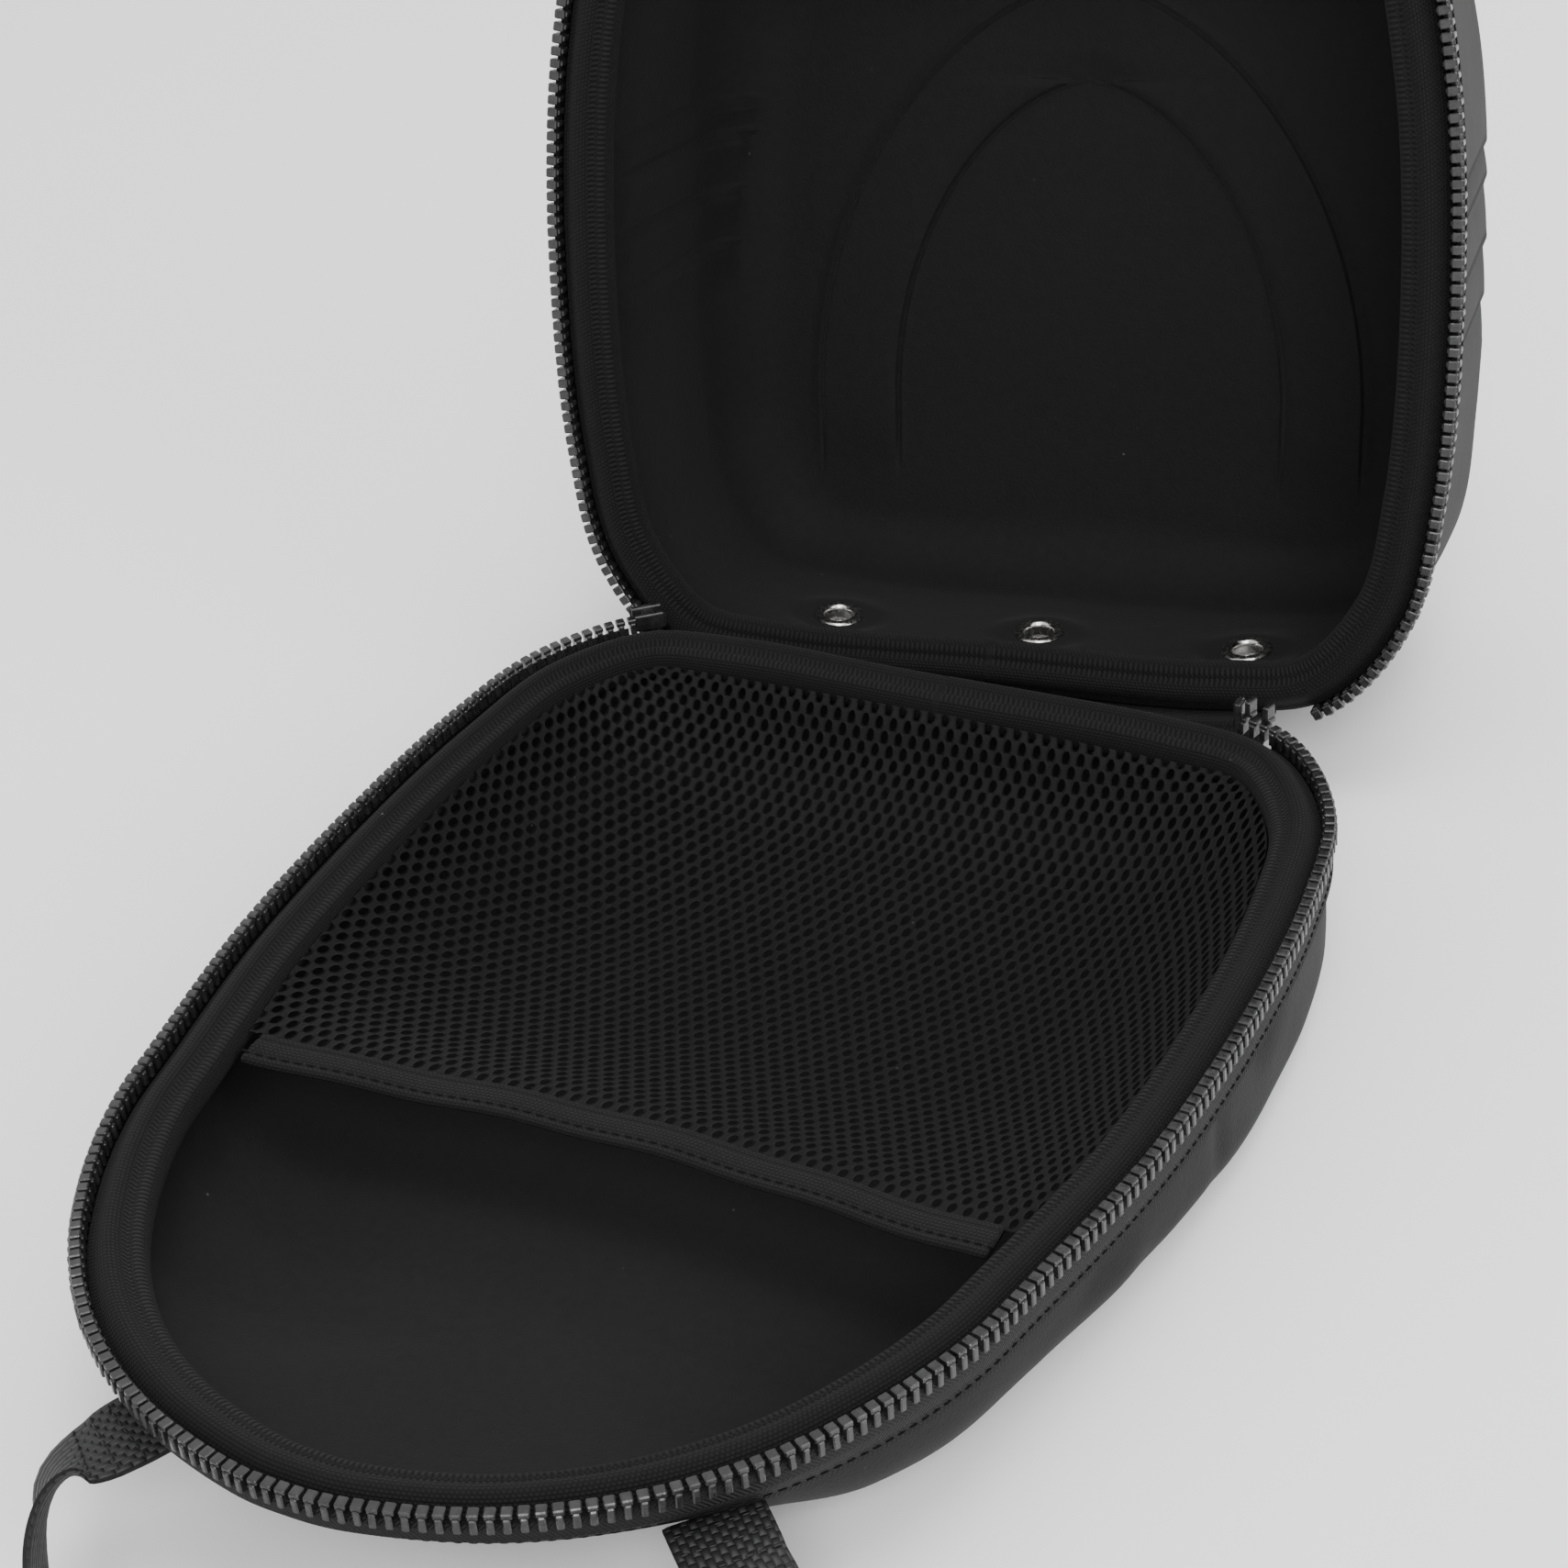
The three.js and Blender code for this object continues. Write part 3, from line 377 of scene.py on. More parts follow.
def swing(angle):
    turn = Matrix.Rotation(angle, 4, HINGE_AXIS)
    return Matrix.Translation(HINGE_POINT) @ turn @ Matrix.Translation(-HINGE_POINT)


def opened(points):
    """Points of the closed lid in their open place."""
    matrix = np.array(swing(-OPEN_ANGLE))
    flat = np.asarray(points, float).reshape(-1, 3)
    return (flat @ matrix[:3, :3].T + matrix[:3, 3]).reshape(np.shape(points))


def in_place(points, half_name):
    """Points of one half of the closed case, where they are in the open case."""
    return opened(points) if half_name == "lid" else points


# Relief of the lid


def arch_distance(x, forward, half_width, apex):
    """Rough distance outside an arch, less than 0 within it."""
    rise = apex - ARCH_SPRING
    t = np.clip((forward - ARCH_SPRING) / rise, 0, 0.9999)
    width = half_width * (1 - t * t) ** 0.6
    slope = -1.2 * half_width * t * (1 - t * t) ** -0.4 / rise
    beyond = np.maximum(forward - apex, 0)
    return (np.abs(x) - width + beyond * 2) / np.sqrt(1 + slope * slope)


def arch_distances(sizes, points):
    """Distances outside the outer and the inner arch, far off where the wall isn't pressed."""
    forward = sizes.length / 2 - points[..., 1]
    off = (1 - smoothstep(0.022, 0.045, forward)) + (1 - smoothstep(0.06, 0.085, points[..., 2]))
    outer = arch_distance(points[..., 0], forward, sizes.outer_arch, OUTER_ARCH_APEX)
    inner = arch_distance(points[..., 0], forward, sizes.inner_arch, INNER_ARCH_APEX)
    return outer, inner, np.clip(1 - off, 0, 1)


def arch_relief(sizes, points):
    """How far the lid's top is pressed in between its two arches."""
    outer, inner, on = arch_distances(sizes, points)
    return on * smoothstep(0.0028, 0, outer) * smoothstep(-0.0006, 0.0022, inner) * sizes.relief


def slats(sizes, points):
    """Height of the slats in the lid's sides, distance from a slat's raised edge, and a mask."""
    forward = sizes.length / 2 - points[..., 1]
    up = points[..., 2]
    edges = np.array(SLAT_EDGES)
    k = np.clip(np.searchsorted(edges, forward) - 1, 0, len(edges) - 2)
    share = np.clip((forward - edges[k]) / (edges[k + 1] - edges[k]), 0, 1)
    fall = (0.10 + 0.90 * share ** 1.5) * smoothstep(1.0, 0.87, share)
    inside = smoothstep(0.0805, 0.082, forward) * smoothstep(0.1375, 0.1350, forward)
    low = 0.023 + 0.0012 * k
    high = 0.1005 + 0.0016 * k
    ends = smoothstep(low, low + 0.005, up) * smoothstep(high, high - 0.004, up)
    near_edge = np.abs(forward[..., None] - edges[1:]).min(-1)
    return inside * ends * fall * sizes.slat_relief, near_edge, inside * ends


def base_dents(sizes, rim, points):
    """Small hollows in the base's outer wall, mostly at the right where the cloth pulls in."""
    down = sizes.base_height - points[..., 2]
    along = rim.along[None, :]
    right = (rim.points[None, :, 0] > 0) * 1.0
    depth = 0.0
    for at, height, wide, tall, deep in BASE_DENTS:
        depth = depth + deep * np.exp(-((along - at) / wide) ** 2 - ((down - height) / tall) ** 2)
    slow = 0.00025 * np.sin(along * 37 + down * 90) * np.sin(down * 160 + 1)
    edge = smoothstep(0.009, 0.015, down) * smoothstep(sizes.base_height, 0.040, down)
    return (depth * right + slow) * edge


# Seats of the eyelets


def eyelet_seats(sizes, rim):
    """Middle of each eyelet in the closed lid, and how it is turned."""
    seats = []
    back = np.nonzero(rim.points[:, 1] > 0)[0]
    for side in (-1, 0, 1):
        at = back[np.argmin(np.abs(rim.points[back, 0] - side * sizes.eyelet_spacing))]
        point, normal = rim.points[at], rim.normals[at]
        height = lid_top(sizes, point[0], point[1])
        slope = -LID_WALL["draft"][0] * height * normal[1] / (height - sizes.shell_edge)
        out = slope * (sizes.eyelet_height - sizes.shell_edge) - sizes.wall / 2
        middle = np.array([*(point + normal * out), sizes.base_height + sizes.eyelet_height])
        turn = (Matrix.Rotation(-math.atan2(normal[0], normal[1]), 4, "Z")
                @ Matrix.Rotation(sizes.eyelet_lean - math.atan(slope), 4, "X"))
        seats.append((middle, turn))
    return seats


def seat_distances(points, seat):
    """Distances of points along and away from the axis of an eyelet, and the axis."""
    middle, turn = seat
    axis = np.array(turn.to_3x3() @ Vector((0, 1, 0)))
    away = points - middle
    along = away @ axis
    return along, np.linalg.norm(away - along[..., None] * axis, axis=-1), axis


def seated(points, seats, level):
    """Shell's points pressed flat round each eyelet."""
    points = points.copy()
    for seat in seats:
        along, radius, axis = seat_distances(points, seat)
        weight = smoothstep(SEAT_OUTER, SEAT_INNER, radius) * (np.abs(along) < SEAT_REACH)
        points += ((level - along) * weight)[..., None] * axis
    return points


def in_eyelet(points, seats, radius):
    """Whether each point lies within the hole of an eyelet."""
    inside = np.zeros(points.shape[:-1], bool)
    for seat in seats:
        along, away = seat_distances(points, seat)[:2]
        inside |= (away < radius) & (np.abs(along) < SEAT_REACH)
    return inside


# Meshes


def new_object(name, mesh):
    obj = bpy.data.objects.new(name, mesh)
    bpy.context.scene.collection.objects.link(obj)
    return obj


def mesh_from(name, parts):
    """Mesh from an edited one, which is then let go."""
    mesh = bpy.data.meshes.new(name)
    parts.to_mesh(mesh)
    parts.free()
    return mesh


def make_object(name, verts, faces, uvs=None):
    """Object at the origin from points in metres and faces, with a UV map in metres."""
    mesh = bpy.data.meshes.new(name)
    mesh.from_pydata([tuple(v) for v in np.asarray(verts, float)], [], [tuple(f) for f in faces])
    if uvs is not None:
        layer = mesh.uv_layers.new(name="cloth")
        loops = np.empty(len(mesh.loops), dtype=np.int32)
        mesh.loops.foreach_get("vertex_index", loops)
        layer.data.foreach_set("uv", np.asarray(uvs, np.float32)[loops].ravel())
    mesh.polygons.foreach_set("use_smooth", [True] * len(mesh.polygons))
    mesh.update()
    return new_object(name, mesh)


def grid_faces(rows, columns, loop_rows, loop_columns):
    row_count = rows if loop_rows else rows - 1
    column_count = columns if loop_columns else columns - 1
    r, c = np.meshgrid(np.arange(row_count), np.arange(column_count), indexing="ij")
    r2, c2 = (r + 1) % rows, (c + 1) % columns
    quads = np.stack([r * columns + c, r * columns + c2, r2 * columns + c2, r2 * columns + c], -1)
    return quads.reshape(-1, 4)


def grid_uvs(across, along):
    return np.stack(np.broadcast_arrays(across[None, :], along[:, None]), -1).reshape(-1, 2)


def face_outwards(obj):
    """Turns a closed mesh's faces outwards and drops what has no area."""
    mesh = bmesh.new()
    mesh.from_mesh(obj.data)
    bmesh.ops.remove_doubles(mesh, verts=mesh.verts, dist=1e-6)
    bmesh.ops.dissolve_degenerate(mesh, edges=mesh.edges, dist=1e-7)
    bmesh.ops.recalc_face_normals(mesh, faces=mesh.faces)
    if mesh.calc_volume(signed=True) < 0:
        bmesh.ops.reverse_faces(mesh, faces=mesh.faces)
    mesh.to_mesh(obj.data)
    mesh.free()
    obj.data.update()
    return obj


def ring_object(name, rows, looped=True):
    """Closed body from rows of points, each running round the rim, joined into a tube."""
    rows = np.array(rows)
    sections, steps = rows.shape[:2]
    uvs = grid_uvs(lengths_along(rows.mean(0)), lengths_along(rows[:, 0]))
    faces = [tuple(f) for f in grid_faces(sections, steps, True, looped)]
    if not looped:
        faces.append(tuple(s * steps for s in range(sections)))
        faces.append(tuple(s * steps + steps - 1 for s in reversed(range(sections))))
    return face_outwards(make_object(name, rows.reshape(-1, 3), faces, uvs))


def paint(obj, material):
    obj.data.materials.clear()
    obj.data.materials.append(material)
    return obj


def finish_piece(obj, body, slot, *nodes):
    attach(obj, body)
    if nodes:
        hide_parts(*nodes)
    return obj


# Shader node groups

LINT_COLOUR = (0.30, 0.29, 0.28, 1)


class Tree:
    """Short names for the nodes of one tree."""

    def __init__(self, tree):
        self.tree = tree

    def node(self, kind, **values):
        made = self.tree.nodes.new(kind)
        for key, value in values.items():
            setattr(made, key, value)
        return made

    def link(self, source, target):
        self.tree.links.new(source, target)

    def feed(self, socket, value):
        if isinstance(value, bpy.types.NodeSocket):
            self.link(value, socket)
        else:
            socket.default_value = value

    def math(self, operation, first, second=0.0):
        made = self.node("ShaderNodeMath", operation=operation)
        for socket, value in zip(made.inputs, (first, second)):
            self.feed(socket, value)
        return made.outputs[0]

    def blend(self, factor, first, second):
        made = self.node("ShaderNodeMix", data_type="RGBA")
        self.feed(made.inputs[0], factor)
        self.feed(made.inputs[6], first)
        self.feed(made.inputs[7], second)
        return made.outputs[2]

    def axes(self, vector):
        made = self.node("ShaderNodeSeparateXYZ")
        self.link(vector, made.inputs[0])
        return made.outputs

    def half_wave(self, phase):
        """Wave from 0 to 1."""
        return self.math("ADD", 0.5, self.math("MULTIPLY", self.math("SINE", phase), 0.5))

    def attribute(self, label):
        return self.node("ShaderNodeAttribute", attribute_name=label).outputs["Fac"]

    def scaled(self, colour, factor):
        made = self.node("ShaderNodeVectorMath", operation="SCALE")
        self.link(colour, made.inputs[0])
        self.link(factor, made.inputs["Scale"])
        return made.outputs[0]

    def ramp(self, value, low, high, to_low=0.0, to_high=1.0):
        made = self.node("ShaderNodeMapRange", interpolation_type="SMOOTHSTEP")
        for socket, number in zip(made.inputs, (value, low, high, to_low, to_high)):
            self.feed(socket, number)
        return made.outputs[0]

    def noise(self, vector, scale, detail=3.0, rough=0.55):
        made = self.node("ShaderNodeTexNoise")
        self.feed(made.inputs["Vector"], vector)
        made.inputs["Scale"].default_value = scale
        made.inputs["Detail"].default_value = detail
        made.inputs["Roughness"].default_value = rough
        return made.outputs["Fac"]


def new_group(name, inputs, outputs, kind="Shader"):
    """Node group with named sockets; each input has its type and its default."""
    group = bpy.data.node_groups.new(name, kind + "NodeTree")
    for label, holds, value in inputs:
        socket = group.interface.new_socket(
            label, in_out="INPUT", socket_type="NodeSocket" + holds)
        if value is not None:
            socket.default_value = value
    for label, holds in outputs:
        group.interface.new_socket(label, in_out="OUTPUT", socket_type="NodeSocket" + holds)
    tree = Tree(group)
    start = tree.node("NodeGroupInput")
    end = tree.node("NodeGroupOutput")
    return group, tree, start.outputs, end.inputs


def dust_group():
    """Pale lint and slow colour change over cloth."""
    group, tree, given, out = new_group(
        "Cloth change",
        [("Vector", "Vector", None), ("Colour", "Color", (0.02, 0.02, 0.02, 1)),
         ("Amount", "Float", 0.25), ("Lint", "Float", 0.3)],
        [("Colour", "Color"), ("Roughness", "Float")])
    slow = tree.noise(given["Vector"], 14.0, 4.0)
    fine = tree.noise(given["Vector"], 420.0, 2.0, 0.7)
    specks = tree.node("ShaderNodeTexVoronoi", feature="F1")
    tree.link(given["Vector"], specks.inputs["Vector"])
    specks.inputs["Scale"].default_value = 210.0
    lint = tree.ramp(specks.outputs["Distance"], 0.10, 0.03)
    picked = tree.ramp(tree.noise(given["Vector"], 95.0, 1.0), 0.66, 0.72)
    lint = tree.math("MULTIPLY", tree.math("MULTIPLY", lint, picked), given["Lint"])
    swing_up = tree.math("MULTIPLY", tree.math("SUBTRACT", slow, 0.5), given["Amount"])
    grain = tree.math("MULTIPLY", tree.math("SUBTRACT", fine, 0.5), 0.5)
    factor = tree.math("ADD", 1.0, tree.math("ADD", swing_up, grain))
    changed = tree.scaled(given["Colour"], factor)
    tree.link(tree.blend(lint, changed, LINT_COLOUR), out["Colour"])
    tree.link(tree.math("ADD", 0.66, tree.math("MULTIPLY", slow, 0.24)), out["Roughness"])
    return group


def weave_group():
    """Plain or twill weave in UV space: height from 0 to 1."""
    group, tree, given, out = new_group(
        "Weave",
        [("Vector", "Vector", None), ("Warp", "Float", 0.0012), ("Weft", "Float", 0.0012),
         ("Slant", "Float", 0.5)],
        [("Height", "Float")])
    along, aside, _ = tree.axes(given["Vector"])
    u = tree.math("DIVIDE", along, given["Warp"])
    v = tree.math("DIVIDE", aside, given["Weft"])
    row = tree.math("FLOOR", v)
    across = tree.math("FRACT", tree.math("ADD", u, tree.math("MULTIPLY", row, given["Slant"])))
    up = tree.math("FRACT", v)
    bump_u = tree.math("SINE", tree.math("MULTIPLY", across, math.pi))
    bump_v = tree.math("SINE", tree.math("MULTIPLY", up, math.pi))
    tree.link(tree.math("POWER", tree.math("MULTIPLY", bump_u, bump_v), 0.6), out["Height"])
    return group


def rib_group():
    """Herringbone or plain ribs in UV space: height from 0 to 1."""
    group, tree, given, out = new_group(
        "Ribs",
        [("Vector", "Vector", None), ("Pitch", "Float", 0.0012), ("Band", "Float", 0.004),
         ("Slope", "Float", 1.0)],
        [("Height", "Float")])
    along, aside, _ = tree.axes(given["Vector"])
    saw = tree.math("PINGPONG", aside, given["Band"])
    place = tree.math("ADD", along, tree.math("MULTIPLY", saw, given["Slope"]))
    phase = tree.math("MULTIPLY", tree.math("DIVIDE", place, given["Pitch"]), 2 * math.pi)
    fold = tree.ramp(tree.math("DIVIDE", saw, given["Band"]), 0.0, 0.16, 0.35, 1.0)
    tree.link(tree.math("MULTIPLY", tree.half_wave(phase), fold), out["Height"])
    return group


GROUPS = {}


def group_node(tree, name, maker, **values):
    if name not in GROUPS:
        GROUPS[name] = maker()
    made = tree.node("ShaderNodeGroup")
    made.node_tree = GROUPS[name]
    for key, value in values.items():
        tree.feed(made.inputs[key], value)
    return made


# Materials


def new_material(name):
    material = bpy.data.materials.new(name)
    material.use_nodes = True
    tree = Tree(material.node_tree)
    material.node_tree.nodes.clear()
    shader = tree.node("ShaderNodeBsdfPrincipled")
    end = tree.node("ShaderNodeOutputMaterial")
    tree.link(shader.outputs[0], end.inputs["Surface"])
    return material, tree, shader


def object_place(tree):
    return tree.node("ShaderNodeTexCoord").outputs["Object"]


def cloth_place(tree):
    made = tree.node("ShaderNodeUVMap")
    made.uv_map = "cloth"
    return made.outputs[0]


def bumped(tree, shader, height, distance, strength=1.0, under=None):
    made = tree.node("ShaderNodeBump")
    made.inputs["Distance"].default_value = distance
    made.inputs["Strength"].default_value = strength
    tree.feed(made.inputs["Height"], height)
    if under is not None:
        tree.link(under, made.inputs["Normal"])
    tree.link(made.outputs[0], shader.inputs["Normal"])
    return made.outputs[0]


def set_inputs(node, values):
    for name, value in values.items():
        node.inputs[name].default_value = value


def cloth_change(tree, colour, amount, lint):
    return group_node(tree, "change", dust_group, Vector=object_place(tree), Colour=(*colour, 1),
                      Amount=amount, Lint=lint)


def dress_cloth(tree, shader, change, height, painted_shade_ramp, bump, values):
    """Colour with painted shade in the hollows of a cloth's height and painted light on its raised
    threads, its bump and its plain values.
    """
    tree.link(tree.scaled(change.outputs["Colour"], tree.ramp(height, *painted_shade_ramp)),
              shader.inputs["Base Color"])
    if "Roughness" not in values:
        tree.link(change.outputs["Roughness"], shader.inputs["Roughness"])
    set_inputs(shader, values)
    bumped(tree, shader, height, *bump)


def arch_creases(tree):
    """Height from 1 down to 0 in the two creases of the lid's arches."""
    height = 1.0
    for label, width in (("outer_arch", 0.0011), ("inner_arch", 0.0010)):
        away = tree.math("ABSOLUTE", tree.attribute(label))
        height = tree.math("MULTIPLY", height, tree.ramp(away, 0.0, width))
    dent = tree.math("MULTIPLY", tree.math("SUBTRACT", 1.0, height), tree.attribute("arch_mask"))
    return tree.math("SUBTRACT", 1.0, dent)


def slat_lips(tree):
    """Height of the thin lip along each slat's raised edge."""
    lip = tree.ramp(tree.attribute("slat_edge"), 0.0021, 0.0)
    return tree.math("MULTIPLY", lip, tree.attribute("slat_mask"))


def moulded_cloth(colours, creased=False):
    """Fine knit pressed onto foam."""
    material, tree, shader = new_material("Creased moulded cloth" if creased else "Moulded cloth")
    place = object_place(tree)
    change = cloth_change(tree, colours.shell, 0.35, 0.25)
    tree.link(change.outputs["Colour"], shader.inputs["Base Color"])
    tree.link(change.outputs["Roughness"], shader.inputs["Roughness"])
    set_inputs(shader, {"Sheen Weight": 0.03, "Sheen Roughness": 0.5, "Specular IOR Level": 0.14})
    knit = tree.noise(place, 1500.0, 1.0, 0.4)
    soft = tree.noise(place, 60.0, 2.0, 0.5)
    low = bumped(tree, shader, soft, 0.0012, 0.25)
    if creased:
        low = bumped(tree, shader, arch_creases(tree), 0.0011, 1.0, low)
        low = bumped(tree, shader, slat_lips(tree), 0.0010, 1.0, low)
    bumped(tree, shader, knit, 0.00025, 0.55, low)
    return material


def lid_cloth(colours):
    return moulded_cloth(colours, True)


def grosgrain_rows(tree, place):
    """Height of two rows of cross ribs along the inner edge of the binding."""
    along, aside, _ = tree.axes(place)
    rib = tree.half_wave(tree.math("MULTIPLY", along, 2 * math.pi / RIB_PITCH))
    rows = 0.0
    for low, high in RIB_ROWS:
        window = tree.math("MULTIPLY", tree.ramp(aside, low - 0.0003, low + 0.0002),
                           tree.ramp(aside, high + 0.0003, high - 0.0002))
        rows = tree.math("ADD", rows, window)
    return tree.math("MULTIPLY", rib, rows), rows


def ribbed_binding(colours):
    """Twill over the rolls of the binding, with ribbed rows beside the inner edge."""
    material, tree, shader = new_material("Ribbed binding")
    place = cloth_place(tree)
    weave = group_node(tree, "weave", weave_group, Vector=place, Warp=0.00105, Weft=0.00085,
                       Slant=0.36)
    ribs, rows = grosgrain_rows(tree, place)
    plain = tree.math("MULTIPLY", weave.outputs["Height"], 0.6)
    height = tree.math("ADD", tree.math("MULTIPLY", plain, tree.math("SUBTRACT", 1.0, rows)),
                       tree.math("MULTIPLY", ribs, 1.1))
    dress_cloth(tree, shader, cloth_change(tree, colours.trim, 0.3, 0.25), height,
                (0.0, 0.9, 0.4, 1.7), (0.0004, 0.85),
                {"Sheen Weight": 0.03, "Specular IOR Level": 0.14})
    return material


def woven_trim(colours):
    """Twill tape of the hem and the hinge."""
    material, tree, shader = new_material("Woven trim")
    weave = group_node(tree, "weave", weave_group, Vector=cloth_place(tree), Warp=0.0011,
                       Weft=0.0009, Slant=0.36)
    dress_cloth(tree, shader, cloth_change(tree, colours.trim, 0.3, 0.25),
                weave.outputs["Height"], (0.0, 0.8, 0.35, 1.5), (0.0004, 0.8),
                {"Sheen Weight": 0.03, "Specular IOR Level": 0.14})
    return material


def herringbone(colours):
    """Zip tape: slanting ribs that turn back at each band."""
    material, tree, shader = new_material("Zip tape")
    ribs = group_node(tree, "ribs", rib_group, Vector=cloth_place(tree), Pitch=0.0011,
                      Band=0.0026, Slope=1.0)
    dress_cloth(tree, shader, cloth_change(tree, colours.trim, 0.25, 0.2),
                ribs.outputs["Height"], (0.0, 0.9, 0.45, 1.75), (0.0003, 0.9),
                {"Roughness": 0.66, "Specular IOR Level": 0.25})
    return material


def ribbed_webbing(colours):
    """Webbing: ribs along it and a fine weave across them."""
    material, tree, shader = new_material("Ribbed webbing")
    weave = group_node(tree, "weave", weave_group, Vector=cloth_place(tree), Warp=0.0026,
                       Weft=0.0016, Slant=0.5)
    dress_cloth(tree, shader, cloth_change(tree, colours.webbing, 0.3, 0.2),
                weave.outputs["Height"], (0.0, 0.8, 0.35, 1.7), (0.0006, 0.9),
                {"Roughness": 0.6, "Specular IOR Level": 0.45})
    return material


def knitted_net(colours):
    """Warp knit with staggered oval holes."""
    material, tree, shader = new_material("Knitted net")
    along, aside, _ = tree.axes(cloth_place(tree))
    u = tree.math("DIVIDE", along, NET_ACROSS)
    v = tree.math("DIVIDE", aside, NET_ALONG)
    row = tree.math("FLOOR", v)
    shift = tree.math("MULTIPLY", tree.math("MODULO", tree.math("ABSOLUTE", row), 2.0), 0.5)
    x = tree.math("SUBTRACT", tree.math("FRACT", tree.math("ADD", u, shift)), 0.5)
    y = tree.math("SUBTRACT", tree.math("FRACT", v), 0.5)
    across = tree.math("DIVIDE", x, 0.25)
    up = tree.math("DIVIDE", y, 0.46)
    away = tree.math("SQRT", tree.math("ADD", tree.math("MULTIPLY", across, across),
                                       tree.math("MULTIPLY", up, up)))
    solid = tree.ramp(away, 0.88, 1.04)
    rounded = tree.ramp(away, 0.95, 1.5)
    fine = tree.noise(cloth_place(tree), 2400.0, 1.0)
    height = tree.math("ADD", rounded, tree.math("MULTIPLY", fine, 0.4))
    dress_cloth(tree, shader, cloth_change(tree, colours.net, 0.3, 0.15), height,
                (0.2, 1.2, 0.6, 1.5), (0.0005, 0.9),
                {"Roughness": 0.6, "Sheen Weight": 0.02, "Specular IOR Level": 0.12})
    tree.link(solid, shader.inputs["Alpha"])
    return material


def tooth_plastic(colours):
    """Moulded teeth with rubbed tops."""
    material, tree, shader = new_material("Tooth plastic")
    place = object_place(tree)
    wear = tree.ramp(tree.noise(place, 300.0, 2.0), 0.35, 0.75)
    tree.link(tree.blend(wear, (*colours.teeth, 1), (*(c * 2.4 for c in colours.teeth), 1)),
              shader.inputs["Base Color"])
    tree.link(tree.ramp(tree.noise(place, 700.0, 2.0), 0.3, 0.7, 0.22, 0.42),
              shader.inputs["Roughness"])
    shader.inputs["Specular IOR Level"].default_value = 0.6
    bumped(tree, shader, tree.noise(place, 1800.0, 2.0), 0.0001, 0.4)
    return material


def nickel(colours):
    """Plated eyelets with fine scuffs."""
    material, tree, shader = new_material("Nickel")
    place = object_place(tree)
    dull = tree.ramp(tree.noise(place, 260.0, 4.0, 0.7), 0.4, 0.7)
    tree.link(tree.blend(dull, (*colours.metal, 1), (*(c * 0.72 for c in colours.metal), 1)),
              shader.inputs["Base Color"])
    tree.link(tree.ramp(tree.noise(place, 900.0, 3.0), 0.3, 0.7, 0.16, 0.34),
              shader.inputs["Roughness"])
    shader.inputs["Metallic"].default_value = 1.0
    bumped(tree, shader, tree.noise(place, 1600.0, 2.0), 0.00006, 0.4)
    return material


MATERIALS = {}


def look(name):
    makers = {"shell": moulded_cloth, "lid": lid_cloth, "trim": woven_trim,
              "binding": ribbed_binding, "tape": herringbone,
              "webbing": ribbed_webbing, "net": knitted_net, "teeth": tooth_plastic,
              "metal": nickel}
    if name not in MATERIALS:
        MATERIALS[name] = makers[name](bpy.context.scene.case_colours)
    return MATERIALS[name]


# Pieces


def shell_rows(sizes, rim, half, inset, straight, corner_rows, top_rows, relief):
    """Rows of a shell's surface, from its edge to the spine, and the marks of its reliefs."""
    rows = []
    for share in straight:
        rows.append(wall_points(sizes, rim, half, lambda rise, s=share: (1 - rise) * s, inset))
    for step in np.linspace(0, 1, corner_rows + 1)[1:]:
        turn = math.sin(step * math.pi / 2)
        rows.append(wall_points(sizes, rim, half, lambda rise, t=turn: 1 - rise + rise * t, inset))
    start = rows[-1][:, :2]
    for share in np.linspace(0, 1, top_rows + 1)[1:]:
        flat = start + (rim.spine - start) * share
        z = half["top"](sizes, flat[:, 0], flat[:, 1]) - inset
        rows.append(np.column_stack([flat, z]))
    rows = np.array(rows)
    marks = None
    if relief:
        raised, near_edge, on_slat = slats(sizes, rows)
        raised = raised * (1 if inset else OUTER_SLATS)
        pressed = arch_relief(sizes, rows)
        marks = (*arch_distances(sizes, rows), near_edge, on_slat)
        rows[..., :2] -= rim.normals[None] * raised[..., None]
        rows[..., 2] -= pressed
    return stand(sizes, half, rows), marks


